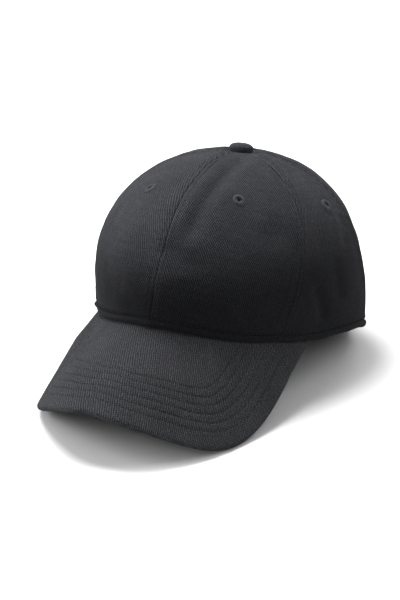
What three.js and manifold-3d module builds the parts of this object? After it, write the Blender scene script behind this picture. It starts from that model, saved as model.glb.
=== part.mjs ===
// Baseball cap, unstructured six-panel crown with a curved brim and a cloth strap
// closure held by a metal clasp buckle.
// Millimetres, +Z up, the cap lies as it does on a table: the two front corners of the
// brim and the back of the hem touch the surface. The front faces -Y, the wearer's left
// is +X.  The origin is the middle of the bounding box on the resting surface.
import * as THREE from 'three';
import Module from 'manifold-3d';
import { mergeVertices } from 'three/addons/utils/BufferGeometryUtils.js';

// ---------------------------------------------------------------- driving dimensions
const CROWN_HALF_WIDTH = 83.479;      // hem, side to side, half
const CROWN_FRONT = 108.0;            // hem, centre to front
const CROWN_BACK = 102.239;           // hem, centre to back
const CROWN_HEIGHT = 114.38;          // hem plane to the top
const BRIM_SPREAD = 74.795;           // half the width between the brim's two ends
const BRIM_END_Y = -31.683;           // where the brim's ends meet the hem
const BRIM_REACH = 144.233;           // from that line to the brim's front edge
const BRIM_SQUARENESS = 2.6369;       // super-ellipse power of the brim's outline
const BRIM_DROP = 0.578585;           // slope of the brim towards its edge, radians
const BRIM_ARCH = 0.02;               // curvature of the brim side to side, 1/mm
const BRIM_ARCH_GAIN = 0.008998;      // extra curvature towards the edge
const BRIM_HEM_Z = 4.8977;            // hem height at the brim's ends
const BRIM_END_ANGLE = 70.4956;       // direction of the brim's ends, degrees
const REST_TILT = 0.2275483;          // the cap leans back this much when it lies down
const REST_LIFT = 23.0636;            // height of the hem plane's centre above the table
const CLOTH = 1.2;                    // panel cloth with its turned seam allowances
const TAPE = 0.6;                     // seam tape
const TAPE_WIDTH = 12.5;
const GAP = 0.55;                     // play between two sewn layers
const BAND_HEIGHT = 32;               // sweatband
const BAND_THICK = 1.2;
const BRIM_CLOTH = 0.8;
const BRIM_BOARD = 2.3;
const ARCH_HALF_WIDTH = 46;           // opening above the closure
const ARCH_HEIGHT = 50;
const EYELET_OD = 9.0, EYELET_BORE = 3.0, EYELET_BARREL = 4.4, EYELET_HOLE = 5.1;
const BUTTON_D = 15.6, BUTTON_H = 5.0, SHANK_R = 1.9, SHANK_HOLE_R = 2.4;
const STRAP_THICK = 1.2, STRAP_WIDTH = 21.0, STRAP_Z0 = 2.6;
const CLOSURE_AXIS_Y = 14.5;          // the strap slides on an arc about this upright line
const CLOSURE_R = 84.0;               // outside radius of the strap at the hem plane
const CLOSURE_LEAN = 0.155;           // the strap leans in with height
const rad = Math.PI / 180;

// ---------------------------------------------------------------- the crown's surface
const { sin, cos, abs, pow, sqrt, max, min, sign, atan2, acos, tan } = Math;
const clamp = (v, a, b) => max(a, min(b, v));
const ease = (v) => { const t = clamp(v, 0, 1); return t * t * (3 - 2 * t); };

// hem outline seen along the crown's axis; th = 0 is the front, +90 the wearer's left
function hemXY(th) {
  const A = (CROWN_FRONT + CROWN_BACK) / 2, K = (CROWN_FRONT - CROWN_BACK) / 2;
  return [CROWN_HALF_WIDTH * (sin(th) - 0.08 * sin(2 * th) - 0.0071 * sin(3 * th)),
    -(A * (0.990575 * cos(th) + 0.009425 * cos(3 * th)) + K * cos(2 * th))];
}
// the curved surface that the brim follows
function brimZ(x, y) {
  const fwd = -CROWN_FRONT - y;
  const k = BRIM_ARCH + BRIM_ARCH_GAIN * max(fwd + 50, 0) / 100;
  return BRIM_HEM_Z - tan(BRIM_DROP) * (fwd + CROWN_FRONT + BRIM_END_Y)
    - 0.5 * k * x * x + 0.5 * BRIM_ARCH * BRIM_SPREAD * BRIM_SPREAD;
}
function hemZ(th) {
  const [x, y] = hemXY(th), a = abs(th);
  const w = ease((BRIM_END_ANGLE * rad + 0.38 - a) / 0.38);
  const back = ease((a / rad - 112) / 38);
  return w * brimZ(x, y) + 0.0272 * x * (1 - w) * (1 - back)
    + 5.986 * (1 - w) * (1 - back) * Math.exp(-(((a - 1.75) / 0.45) ** 2)) - 3.1 * back;
}
const powA = (th) => 3.33405 + 0.21729 * cos(th) - 0.05668 * cos(2 * th) - 0.1654 * sin(th);
const powB = (th) => 2.06135 - 0.29652 * cos(th) + 0.05849 * cos(2 * th);
function crownAt(th, q) {
  const [bx, by] = hemXY(th), hz = hemZ(th);
  const s = pow(max(1 - pow(q, powA(th)), 0), 1 / powB(th)) * (1 + 0.02055 * sin(Math.PI * clamp(q / 0.6, 0, 1)));
  return new THREE.Vector3(
    bx * s + 0.3142 * q - 2.8348 * sin(Math.PI * q),
    by * s - 2.5178 * q - 6.8308 * sin(Math.PI * q) - 0.4403 * sin(2 * Math.PI * q),
    hz + (CROWN_HEIGHT - hz) * q);
}
// even spacing up the crown: u runs 0 at the hem to 1 at the top
const qOf = (th, u) => pow(sin(u * Math.PI / 2), 2 / powA(th));
const surf = (th, u) => crownAt(th, qOf(th, u));
function normalAt(th, u) {
  const e = 1e-4, u0 = clamp(u, 0.004, 0.992);
  const a = surf(th + e, u0).sub(surf(th - e, u0)), b = surf(th, u0 + e).sub(surf(th, u0 - e));
  return a.cross(b).normalize();
}
const inside = (th, u, d) => surf(th, u).addScaledVector(normalAt(th, u), -d);
const uEnd = (th, r) => { const [x, y] = hemXY(th); return 2 / Math.PI * acos(pow(r / sqrt(x * x + y * y), powB(th) / 2)); };
// u stations that divide the crown's height into equal arcs
function stations(n, r) {
  const T = [0], N = 3000, th = 60 * rad, ue = uEnd(th, r);
  let p = surf(th, 0);
  for (let i = 1; i <= N; i++) { const c = surf(th, ue * i / N); T.push(T[i - 1] + c.distanceTo(p)); p = c; }
  const out = [];
  for (let j = 0; j <= n; j++) { const L = T[N] * j / n; let i = 0; while (i < N && T[i + 1] < L) i++;
    out.push(j === n ? 1 : (i + (L - T[i]) / (T[i + 1] - T[i] || 1)) / N); }
  return out;
}
// ---------------------------------------------------------------- the six seams
const seam = [
  (q) => (-0.5576 + 2.5262 * q + 6.7471 * 4 * q * (1 - q)) * rad,                                   // front
  (q) => (64.8109 + 6.1996 * 2 * (q - 0.5) - 5.7477 * (4 * (q - 0.5) ** 2 - 0.5)) * rad,            // left front
  (q) => (114 - 4 * q - 9 * q * q) * rad,                                                          // left rear
  (q) => Math.PI,                                                                                  // back
  (q) => -(114 - 4 * q - 9 * q * q) * rad + 2 * Math.PI,                                           // right rear
  (q) => -(62 + 5 * q - 6 * q * q) * rad + 2 * Math.PI,                                            // right front
  (q) => (-0.5576 + 2.5262 * q + 6.7471 * 4 * q * (1 - q)) * rad + 2 * Math.PI,
];
const wrap = (a) => (a > Math.PI ? a - 2 * Math.PI : a);

// ---------------------------------------------------------------- mesh helpers
// closed body between two matching grids of points [row][column]
function slab(outer, inner) {
  const R = outer.length, C = outer[0].length, v = [], f = [];
  for (const g of [outer, inner]) for (const r of g) for (const p of r) v.push(p.x, p.y, p.z);
  const o = (i, j) => i * C + j, n = (i, j) => R * C + i * C + j;
  const quad = (a, b, c, d) => f.push(a, b, c, a, c, d);
  for (let i = 0; i < R - 1; i++) for (let j = 0; j < C - 1; j++) {
    quad(o(i, j), o(i, j + 1), o(i + 1, j + 1), o(i + 1, j));
    quad(n(i, j), n(i + 1, j), n(i + 1, j + 1), n(i, j + 1));
  }
  for (let i = 0; i < R - 1; i++) {
    quad(o(i, 0), o(i + 1, 0), n(i + 1, 0), n(i, 0));
    quad(o(i, C - 1), n(i, C - 1), n(i + 1, C - 1), o(i + 1, C - 1));
  }
  for (let j = 0; j < C - 1; j++) {
    quad(o(0, j), n(0, j), n(0, j + 1), o(0, j + 1));
    quad(o(R - 1, j), o(R - 1, j + 1), n(R - 1, j + 1), n(R - 1, j));
  }
  return outward(v, f);
}
function outward(v, f) {
  let vol = 0;
  for (let i = 0; i < f.length; i += 3) {
    const [a, b, c] = [f[i] * 3, f[i + 1] * 3, f[i + 2] * 3];
    vol += v[a] * (v[b + 1] * v[c + 2] - v[b + 2] * v[c + 1]) - v[a + 1] * (v[b] * v[c + 2] - v[b + 2] * v[c])
      + v[a + 2] * (v[b] * v[c + 1] - v[b + 1] * v[c]);
  }
  if (vol < 0) for (let i = 0; i < f.length; i += 3) [f[i + 1], f[i + 2]] = [f[i + 2], f[i + 1]];
  const g = new THREE.BufferGeometry();
  g.setAttribute('position', new THREE.BufferAttribute(new Float32Array(v), 3));
  g.setIndex(f);
  return g;
}
const wasm = await Module(); wasm.setup();
function solid(g, matrix) {
  let h = g.clone(); if (matrix) h.applyMatrix4(matrix);
  h.deleteAttribute('normal'); h.deleteAttribute('uv'); h = mergeVertices(h, 1e-4);
  return new wasm.Manifold(new wasm.Mesh({ numProp: 3,
    vertProperties: new Float32Array(h.attributes.position.array), triVerts: new Uint32Array(h.index.array) }));
}
function geometry(m) {
  const k = m.getMesh(), g = new THREE.BufferGeometry();
  g.setAttribute('position', new THREE.BufferAttribute(new Float32Array(k.vertProperties), 3));
  g.setIndex(Array.from(k.triVerts));
  return g;
}
// pose: crown frame to table frame
const restPose = new THREE.Matrix4().makeRotationX(-REST_TILT).setPosition(0, 0, REST_LIFT);

const mat = (r, g, b, rough, metal = 0) => new THREE.MeshStandardMaterial({
  color: new THREE.Color().setRGB(r, g, b, THREE.SRGBColorSpace), roughness: rough, metalness: metal });
const TWILL = mat(0.22, 0.22, 0.24, 0.95), TAPE_MAT = mat(0.12, 0.12, 0.13, 0.95), THREAD = mat(0.27, 0.27, 0.29, 0.8);
const BAND = mat(0.15, 0.15, 0.16, 0.95), BOARD = mat(0.85, 0.85, 0.83, 0.6), METAL = mat(0.55, 0.52, 0.47, 0.35, 1.0);
const STEEL = mat(0.66, 0.66, 0.67, 0.4, 1.0);

const cap = new THREE.Group();
const frame = new THREE.Group();          // the crown frame, turned into its resting lean
frame.matrix.copy(restPose); frame.matrix.decompose(frame.position, frame.quaternion, frame.scale);
cap.add(frame);
function add(name, g, material, matrix) {
  const h = g.clone(); h.deleteAttribute('uv'); h.computeVertexNormals();
  const m = new THREE.Mesh(h, material); m.name = name;
  if (matrix) matrix.decompose(m.position, m.quaternion, m.scale);
  frame.add(m); return m;
}

// ---------------------------------------------------------------- crown panels
const ROWS = 15, U = stations(ROWS, SHANK_HOLE_R), UE = uEnd(60 * rad, SHANK_HOLE_R);
function gridPoint(k, a, j) {              // panel k, fraction a across it, row j
  let th = seam[k](0.5) * (1 - a) + seam[k + 1](0.5) * a, u = 0;
  for (let i = 0; i < 6; i++) {
    u = U[j] * uEnd(wrap(th), SHANK_HOLE_R);
    const q = qOf(wrap(th), u), p = surf(wrap(th), u);
    const r = max(Math.hypot(p.x - 0.3, p.y + 2.5), 2);
    const lo = seam[k](q) + 0.22 / r, hi = seam[k + 1](q) - 0.22 / r;
    th = lo * (1 - a) + hi * a;
  }
  return [wrap(th), u];
}
function panel(k, cols) {
  const outer = [], inner = [];
  for (let j = 0; j <= ROWS; j++) {
    const o = [], n = [];
    for (let i = 0; i <= cols; i++) {
      const [th, u] = gridPoint(k, i / cols, j);
      o.push(surf(th, u)); n.push(inside(th, u, CLOTH));
    }
    outer.push(o); inner.push(n);
  }
  return slab(outer, inner);
}
// a point and outward direction on the crown for a given direction and height
function spot(thDeg, q) {
  const th = thDeg * rad, u = 2 / Math.PI * Math.asin(pow(q, powA(th) / 2));
  const p = surf(th, u), n = normalAt(th, u);
  return { p, n, m: new THREE.Matrix4().compose(p, new THREE.Quaternion().setFromUnitVectors(new THREE.Vector3(0, 0, 1), n), new THREE.Vector3(1, 1, 1)) };
}
const EYELETS = [
  ['eyelet_front_left', 0, 38.4, 0.775], ['eyelet_side_left', 1, 90.5, 0.749], ['eyelet_back_left', 2, 144, 0.76],
  ['eyelet_back_right', 3, -144, 0.76], ['eyelet_side_right', 4, -88, 0.75], ['eyelet_front_right', 5, -24, 0.775]];
const PANELS = ['front_left_panel', 'side_left_panel', 'back_left_panel', 'back_right_panel', 'side_right_panel', 'front_right_panel'];
const PANEL_COLS = [9, 7, 9, 9, 7, 9];

// arch over the closure: half-ellipse window cut straight through the back
const archShape = new THREE.Shape();
archShape.moveTo(-ARCH_HALF_WIDTH, -30);
for (let i = 0; i <= 22; i++) { const a = Math.PI * (1 - i / 22); archShape.lineTo(ARCH_HALF_WIDTH * cos(a), ARCH_HEIGHT * pow(sin(a), 0.9)); }
archShape.lineTo(ARCH_HALF_WIDTH, -30); archShape.closePath();
const archCut = solid(new THREE.ExtrudeGeometry(archShape, { depth: 110, bevelEnabled: false }),
  new THREE.Matrix4().makeRotationX(Math.PI / 2).setPosition(0, 140, 0));

for (let k = 0; k < 6; k++) {
  let m = solid(panel(k, PANEL_COLS[k]));
  const [, , th, q] = EYELETS[k], e = spot(th, q);
  const hole = new THREE.CylinderGeometry(EYELET_HOLE / 2, EYELET_HOLE / 2, 12, 20);
  hole.applyMatrix4(new THREE.Matrix4().makeRotationX(Math.PI / 2)); hole.applyMatrix4(e.m);
  m = m.subtract(solid(hole));
  if (k === 2 || k === 3) m = m.subtract(archCut);
  add(PANELS[k], geometry(m), TWILL);
}
// stitched eyelets: a flange on the cloth and a barrel through it
for (const [name, , th, q] of EYELETS) {
  const b = EYELET_BORE / 2, w = EYELET_BARREL / 2, R = EYELET_OD / 2;
  const prof = [[b, -1.5], [w, -1.5], [w, 0.35], [R - 0.5, 0.35], [R, 0.75], [R - 0.7, 1.4], [b + 0.8, 1.6], [b, 0.8], [b, -1.5]];
  const g = new THREE.LatheGeometry(prof.map(([r, z]) => new THREE.Vector2(r, z)), 16);
  g.applyMatrix4(new THREE.Matrix4().makeRotationX(Math.PI / 2));
  add(name, g, THREAD, spot(th, q).m);
}

// ---------------------------------------------------------------- seam tapes
const tapeOut = CLOTH + GAP, tapeIn = CLOTH + GAP + TAPE;
function tapeStation(th, u, half, d) {      // three points across a seam
  const p = surf(th, u), q = surf(th + 0.01, u), k = 0.01 / q.distanceTo(p);
  return [-half, 0, half].map((w) => inside(wrap(th + w * k), u, d));
}
function seamTape(k, uFrom, uTo) {
  const us = U.map((v) => v).filter((v) => v > uFrom && v < uTo); us.unshift(uFrom); us.push(uTo);
  const rows = us.map((v) => {
    let th = wrap(seam[k](0.5)), u = 0;
    for (let i = 0; i < 6; i++) { u = v * uEnd(th, SHANK_HOLE_R); th = wrap(seam[k](qOf(th, u))); }
    return [th, u];
  });
  return slab(rows.map(([th, u]) => tapeStation(th, u, TAPE_WIDTH / 2, tapeOut)),
    rows.map(([th, u]) => tapeStation(th, u, TAPE_WIDTH / 2, tapeIn)));
}
add('seam_tape_left_front', seamTape(1, 0.035, 0.8), TAPE_MAT);
add('seam_tape_left_rear', seamTape(2, 0.035, 0.8), TAPE_MAT);
add('seam_tape_right_rear', seamTape(4, 0.035, 0.8), TAPE_MAT);
add('seam_tape_right_front', seamTape(5, 0.035, 0.8), TAPE_MAT);
// the long tape runs from the front hem over the top to the arch
{
  const rowsF = [0.035, ...U.filter((v) => v > 0.04 && v < 0.9)].map((v) => {
    let th = 0, u = 0; for (let i = 0; i < 6; i++) { u = v * uEnd(th, SHANK_HOLE_R); th = seam[0](qOf(th, u)); } return [th, u]; });
  const rowsB = U.filter((v) => v > 0.4 && v < 0.9).map((v) => [Math.PI, v * uEnd(Math.PI, SHANK_HOLE_R)]).reverse();
  const build = (d) => {
    const g = rowsF.map(([th, u]) => tapeStation(th, u, TAPE_WIDTH / 2, d));
    for (let i = 1; i < 6; i++) {           // across the top
      const y = -14 + 28 * i / 6 - 2.4, out = [];
      for (const w of [-1, 0, 1]) out.push(new THREE.Vector3(0.5 + w * TAPE_WIDTH / 2, y, CROWN_HEIGHT - 0.75 - 0.0028 * ((y + 2.4) ** 2 + 20 * abs(w)) - d));
      g.push(out);
    }
    return g.concat(rowsB.map(([th, u]) => tapeStation(th, u, TAPE_WIDTH / 2, d).reverse()));
  };
  let m = solid(slab(build(tapeOut), build(tapeIn)));
  const hole = new THREE.CylinderGeometry(SHANK_HOLE_R + 0.1, SHANK_HOLE_R + 0.1, 14, 20);
  hole.applyMatrix4(new THREE.Matrix4().makeRotationX(Math.PI / 2).setPosition(0.3142, -2.5178, CROWN_HEIGHT));
  m = m.subtract(solid(hole));
  add('seam_tape_center', geometry(m), TAPE_MAT);
}

// ---------------------------------------------------------------- button on top
{
  const at = new THREE.Matrix4().makeRotationX(Math.PI / 2).setPosition(0.3142, -2.5178, CROWN_HEIGHT + 0.35);
  const R = BUTTON_D / 2, H = BUTTON_H;
  const lathe = (prof, n) => { const g = new THREE.LatheGeometry(prof.map(([r, z]) => new THREE.Vector2(r, z)), n);
    return g; };
  // cloth cover: dome turned in under the rim, open underneath for the shell
  const cover = [[0, H - 0.9], [2.6, H - 1.05], [4.6, H - 1.6], [6.0, H - 2.6], [6.9, 1.3], [6.9, 0.6], [4.2, 0.6], [4.2, 0], [R - 0.8, 0],
    [R, 0.9], [R - 0.25, 2.2], [R - 1.3, 3.4], [4.9, H - 0.75], [2.6, H - 0.15], [0, H]];
  add('button_cover', lathe(cover, 22), TWILL, at);
  // metal shell with its shank
  const shell = [[0, -6.4], [SHANK_R, -6.4], [SHANK_R, 0.95], [6.4, 0.95], [6.45, 1.4], [5.6, 2.25], [4.2, H - 2.05], [2.4, H - 1.55], [0, H - 1.4]];
  add('button_shell', lathe(shell, 20), STEEL, at);
  // backing rivet cap on the inside
  const back = [[SHANK_R + 0.35, -4.3], [SHANK_R + 0.35, -5.3], [4.6, -5.3], [6.3, -4.3], [6.3, -3.8], [SHANK_R + 0.35, -3.8], [SHANK_R + 0.35, -4.3]];
  add('button_backing', lathe(back, 20), STEEL, at);
}

// ---------------------------------------------------------------- sweatband
// point on a wall at height h above the hem, d inside the outer surface
function wallAt(th, h, d) {
  const hz = hemZ(th), q = h / (CROWN_HEIGHT - hz);
  const u = 2 / Math.PI * Math.asin(pow(max(q, 1e-6), powA(th) / 2));
  return inside(th, u, d);
}
const closureR = (z) => CLOSURE_R - CLOSURE_LEAN * z;
{
  const n = 52, a0 = 146.5 * rad, outer = [], inner = [];
  for (let i = 0; i <= n; i++) {
    const th = -a0 + 2 * a0 * i / n, o = [], p = [];
    for (let j = 0; j <= 3; j++) {
      const h = 1.2 + (BAND_HEIGHT - 1.2) * j / 3, d0 = CLOTH + GAP + TAPE + 0.45;
      const a = wallAt(th, h, d0), b = wallAt(th, h, d0 + BAND_THICK);
      // behind the closure the band stands further in, so that the strap has room
      const z = a.z, dx = a.x, dy = a.y - CLOSURE_AXIS_Y, r = Math.hypot(dx, dy);
      const lim = closureR(z) - STRAP_THICK - 0.9, t = ease((abs(th) / rad - 96) / 16);
      const shift = t * max(0, r - lim);
      o.push(new THREE.Vector3(a.x - dx / r * shift, a.y - dy / r * shift, a.z));
      p.push(new THREE.Vector3(b.x - dx / r * shift, b.y - dy / r * shift, b.z));
    }
    outer.push(o); inner.push(p);
  }
  add('sweatband', slab(outer, inner), BAND);
}

// ---------------------------------------------------------------- brim
function brimEdge(u) {                      // -1..1 along the free edge
  const al = u * Math.PI / 2, a2 = abs(al), m = 2 / BRIM_SQUARENESS;
  const x = BRIM_SPREAD * pow(abs(sin(al)), m) - 5.0309 * sin(2 * a2) - 4.4302 * sin(4 * a2);
  return [sign(u) * x, BRIM_END_Y - BRIM_REACH * pow(max(cos(al), 0), m) - (-0.3077) * sin(2 * a2) ** 2];
}
const BU = 34;
const brimStations = (() => {
  const T = [0], N = 4000, at = (i) => brimEdge(-1 + 2 * i / N); let p = at(0);
  for (let i = 1; i <= N; i++) { const c = at(i); T.push(T[i - 1] + Math.hypot(c[0] - p[0], c[1] - p[1])); p = c; }
  const out = [];
  for (let j = 0; j <= BU; j++) { const L = T[N] * j / BU; let i = 0; while (i < N - 1 && T[i + 1] < L) i++;
    out.push(j === BU ? 1 : -1 + 2 * (i + (L - T[i]) / (T[i + 1] - T[i] || 1)) / N); }
  return out;
})();
const BRIM_INSET = 1.0;                     // the brim's root lies under the hem
function brimLine(j) {
  const e = brimEdge(brimStations[j]);
  const th = (-1 + 2 * j / BU) * (BRIM_END_ANGLE + 0.3) * rad, [x, y] = hemXY(th), r = Math.hypot(x, y);
  const a = [x * (1 - BRIM_INSET / r), y * (1 - BRIM_INSET / r)];
  return { a, e, len: Math.hypot(a[0] - e[0], a[1] - e[1]) };
}
const brimHalf = BRIM_BOARD / 2 + 0.35 + BRIM_CLOTH;
function brimMid(x, y, reach) {             // middle of the brim's thickness, and its normal
  const f = (X, Y) => brimZ(X, Y), e = 0.05;
  const n = new THREE.Vector3(-(f(x + e, y) - f(x - e, y)) / (2 * e), -(f(x, y + e) - f(x, y - e)) / (2 * e), 1).normalize();
  const v = clamp(reach / 45, 0, 1), down = (brimHalf + 1.35) * (1 - v) + (-0.9) * v;
  return [new THREE.Vector3(x, y, f(x, y)).addScaledVector(n, -down), n];
}
function brimPoint(j, v, d) {
  const { a, e, len } = brimLine(j), x = a[0] + (e[0] - a[0]) * v, y = a[1] + (e[1] - a[1]) * v;
  const [p, n] = brimMid(x, y, v * len); return p.addScaledVector(n, d);
}
function brimCloth(side) {                  // side +1 on top, -1 underneath
  const outer = [], inner = [];
  for (let j = 0; j <= BU; j++) {
    const L = brimLine(j).len, vb = max(0.35, 1 - 1.8 / L), o = [], n = [];
    const vs = []; for (let i = 0; i <= 5; i++) vs.push(vb * i / 5); vs.push(vb + 0.02 / max(L, 4)); vs.push(1);
    vs.forEach((v, i) => {
      const half = i === 7 ? brimHalf - 0.7 : brimHalf;
      o.push(brimPoint(j, v, side * half));
      n.push(brimPoint(j, v, side * (i <= 5 ? BRIM_BOARD / 2 + 0.35 : 0.2)));
    });
    outer.push(o); inner.push(n);
  }
  return slab(outer, inner);
}
add('brim_top_fabric', brimCloth(1), TWILL);
add('brim_bottom_fabric', brimCloth(-1), TWILL);
{
  const outer = [], inner = [];
  for (let j = 1; j < BU; j++) {
    const L = brimLine(j).len; if (L < 8) continue;
    const o = [], n = [];
    for (let i = 0; i <= 5; i++) { const v = (1 - 3.2 / L) * i / 5; o.push(brimPoint(j, v, BRIM_BOARD / 2)); n.push(brimPoint(j, v, -BRIM_BOARD / 2)); }
    outer.push(o); inner.push(n);
  }
  add('brim_board', slab(outer, inner), BOARD);
}

// ---------------------------------------------------------------- arch binding
// point on the back wall for a given x and height
function backAt(x, z, d) {
  let th = Math.PI - Math.asin(clamp(x / 92, -1, 1)); if (th > Math.PI) th -= 2 * Math.PI; let q = 0.2;
  for (let i = 0; i < 30; i++) {
    const hz = hemZ(th); q = clamp((z - hz) / (CROWN_HEIGHT - hz), 0, 0.95);
    const p = crownAt(th, q), e = (crownAt(th + 1e-4, q).x - p.x) / 1e-4;
    let s = (x - p.x) / e; th += clamp(s, -0.2, 0.2); if (th > Math.PI) th -= 2 * Math.PI; if (th < -Math.PI) th += 2 * Math.PI;
  }
  const u = 2 / Math.PI * Math.asin(pow(max(q, 1e-6), powA(th) / 2));
  return inside(th, u, d);
}
{
  const n = 26, W = 9, outer = [], inner = [];
  for (let i = 0; i <= n; i++) {
    const a = Math.PI * (1 - i / n), o = [], p = [];
    for (const w of [0.1, W]) {
      const x = (ARCH_HALF_WIDTH + w) * cos(a), z = (ARCH_HEIGHT + w) * pow(max(sin(a), 0), 0.9) + 26.5 * pow(abs(cos(a)), 6);
      o.push(backAt(x, z, tapeOut)); p.push(backAt(x, z, tapeIn));
    }
    outer.push(o); inner.push(p);
  }
  add('arch_binding', slab(outer, inner), TAPE_MAT);
}

// ---------------------------------------------------------------- strap closure
// (s, r) profile, s along the arc (0 at the back's middle, + to the wearer's left),
// r outwards from the strap's outer face; swept between two heights
function arcPoint(s, r, z) {
  const f = s / CLOSURE_R, R = closureR(z) + r;
  return new THREE.Vector3(R * sin(f), CLOSURE_AXIS_Y + R * cos(f), z);
}
function arcSweep(profile, z0, z1) {
  const pts = profile.map(([s, r]) => new THREE.Vector2(s, r)), n = pts.length, v = [], f = [];
  if (THREE.ShapeUtils.isClockWise(pts)) pts.reverse();
  for (const z of [z0, z1]) for (const p of pts) { const q = arcPoint(p.x, p.y, z); v.push(q.x, q.y, q.z); }
  const bent = pts.map((p) => { const q = arcPoint(p.x, p.y, z0); return new THREE.Vector2(q.x, q.y); });
  for (let [a, b, c] of THREE.ShapeUtils.triangulateShape(bent, [])) {
    if (THREE.ShapeUtils.area([bent[a], bent[b], bent[c]]) < 0) [b, c] = [c, b];
    f.push(a, c, b, n + a, n + b, n + c);
  }
  for (let i = 0; i < n; i++) { const j = (i + 1) % n; f.push(i, j, n + j, i, n + j, n + i); }
  return outward(v, f);
}
const along = (a, b, r, step = 4) => { const n = max(1, Math.ceil(abs(b - a) / step)), o = []; for (let i = 0; i <= n; i++) o.push([a + (b - a) * i / n, r]); return o; };
const S0 = STRAP_Z0, S1 = STRAP_Z0 + STRAP_WIDTH;

const STRAP_FROM = -74, STRAP_TO = 40;
add('closure_strap', arcSweep([...along(STRAP_FROM, STRAP_TO, 0), ...along(STRAP_TO, STRAP_FROM, -STRAP_THICK)], S0, S1), TWILL);

// buckle: back plate with two cheeks, a bar for the tab and a pin for the lever
const BX0 = 1, BX1 = 22, BAR_S = 25.8, BAR_R = 2.85, BAR_RAD = 1.1, PIN_S = 18.4, PIN_RAD = 0.9, PIN_R = 3.3;
const C0 = S0 - 0.5, C1 = S1 + 0.5, CHEEK = 1.3, LEVER_SIDE = 0.85;
const circle = (s, r, rad, n) => { const p = []; for (let i = 0; i < n; i++) { const a = i / n * 2 * Math.PI; p.push([s + rad * cos(a), r + rad * sin(a)]); } return p; };
const arcOf = (s, r, rad, from, to, n) => { const p = []; for (let i = 0; i <= n; i++) { const a = (from + (to - from) * i / n) * Math.PI / 180; p.push([s + rad * cos(a), r + rad * sin(a)]); } return p; };
const PIN_BORE = PIN_RAD + 0.06;          // running clearance of the hinge
const cheek = [[BX0 + 1, -2.4], [BX0, -1.6], [BX0, -0.4], [BX0 + 1.2, 0.9], [PIN_S - 6, 2.0], ...arcOf(PIN_S, PIN_R, 2.1, 150, 40, 6),
  ...arcOf(BAR_S, BAR_R, 1.75, 90, -60, 6), [BX1 + 1.5, -2.4], ...along(BX1 - 1, BX0 + 4, -2.4, 5)];
{
  let m = solid(arcSweep(cheek, C0 - CHEEK, C0)).add(solid(arcSweep(cheek, C1, C1 + CHEEK)));
  m = m.add(solid(arcSweep([...along(BX0 + 1, BX1, -2.4), ...along(BX1, BX0 + 1, -1.6)], C0 - 0.5, C1 + 0.5)));
  m = m.add(solid(arcSweep(circle(BAR_S, BAR_R, BAR_RAD, 12), C0 - 0.6, C1 + 0.6)));
  m = m.subtract(solid(arcSweep(circle(PIN_S, PIN_R, PIN_BORE, 16), C0 - 4, C1 + 4)));
  add('buckle_frame', geometry(m), METAL);
  add('buckle_pin', arcSweep(circle(PIN_S, PIN_R, PIN_RAD, 16), C0 - CHEEK - 0.4, C1 + CHEEK + 0.4), STEEL);
}
// lever: flat plate outside the strap with a cam that bears on it beside the pin
{
  const p = [[-1.5, 5.1], [BX0 + 3, 5.4], [BX0 + 9, 5.55], [PIN_S - 3.0, 5.6], ...arcOf(PIN_S, PIN_R, 2.3, 90, -66, 8),
    ...arcOf(PIN_S, PIN_R, 2.95, -86, -106, 2), [PIN_S - 2.2, 1.6], [PIN_S - 3.2, 4.4], [BX0 + 9, 4.45], [BX0 + 3, 4.3], [-1.5, 4.0]];
  // the pin leans with the band, so the lever's flat ends keep 0.85 to the cheeks as it swings
  let m = solid(arcSweep(p, C0 + LEVER_SIDE, C1 - LEVER_SIDE));
  m = m.subtract(solid(arcSweep(circle(PIN_S, PIN_R, PIN_BORE, 16), C0 - 4, C1 + 4)));
  add('buckle_lever', geometry(m), METAL);
}
// cloth tab folded round the bar, its two legs sewn together and into the hem
{
  const ro = BAR_RAD + 1.35, end = 62;
  const p = [...along(BAR_S, end, 0.4, 4), ...along(end, 36, 1.4, 4), [31.5, 2.6], ...arcOf(BAR_S, BAR_R, ro, 55, 268, 12)];
  let m = solid(arcSweep(p, C0 + 0.35, C1 - 0.35));
  m = m.subtract(solid(arcSweep(circle(BAR_S, BAR_R, BAR_RAD + 0.3, 14), C0 - 4, C1 + 4)));
  add('closure_tab', geometry(m), TWILL);
}

// ---------------------------------------------------------------- stand it at the origin
cap.updateMatrixWorld(true);
const box = new THREE.Box3().setFromObject(cap, true), mid = box.getCenter(new THREE.Vector3());
cap.position.set(-mid.x, -mid.y, -box.min.z);
cap.updateMatrixWorld(true);
export default cap;
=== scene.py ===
import math
import bpy
import bmesh
import numpy as np
from mathutils import Vector, Matrix


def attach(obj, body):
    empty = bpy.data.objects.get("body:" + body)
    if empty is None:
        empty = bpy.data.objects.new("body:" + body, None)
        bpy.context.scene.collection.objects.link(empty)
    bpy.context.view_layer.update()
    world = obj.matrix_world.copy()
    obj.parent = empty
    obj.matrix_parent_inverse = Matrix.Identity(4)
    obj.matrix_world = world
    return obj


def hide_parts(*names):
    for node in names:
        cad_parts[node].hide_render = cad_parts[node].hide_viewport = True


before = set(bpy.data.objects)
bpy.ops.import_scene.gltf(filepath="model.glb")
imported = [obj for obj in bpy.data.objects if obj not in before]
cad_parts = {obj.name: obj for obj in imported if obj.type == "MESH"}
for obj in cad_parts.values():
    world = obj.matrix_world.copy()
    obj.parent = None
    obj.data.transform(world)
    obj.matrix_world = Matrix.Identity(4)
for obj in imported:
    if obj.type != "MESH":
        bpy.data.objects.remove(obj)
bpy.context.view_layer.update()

# ------------------------------------------------------------------ the cap's shape (millimetres, crown frame)
CROWN_HALF_WIDTH, CROWN_FRONT, CROWN_BACK, CROWN_HEIGHT = 83.479, 108.0, 102.239, 114.38
BRIM_SPREAD, BRIM_END_Y, BRIM_REACH, BRIM_SQUARENESS = 74.795, -31.683, 144.233, 2.6369
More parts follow.
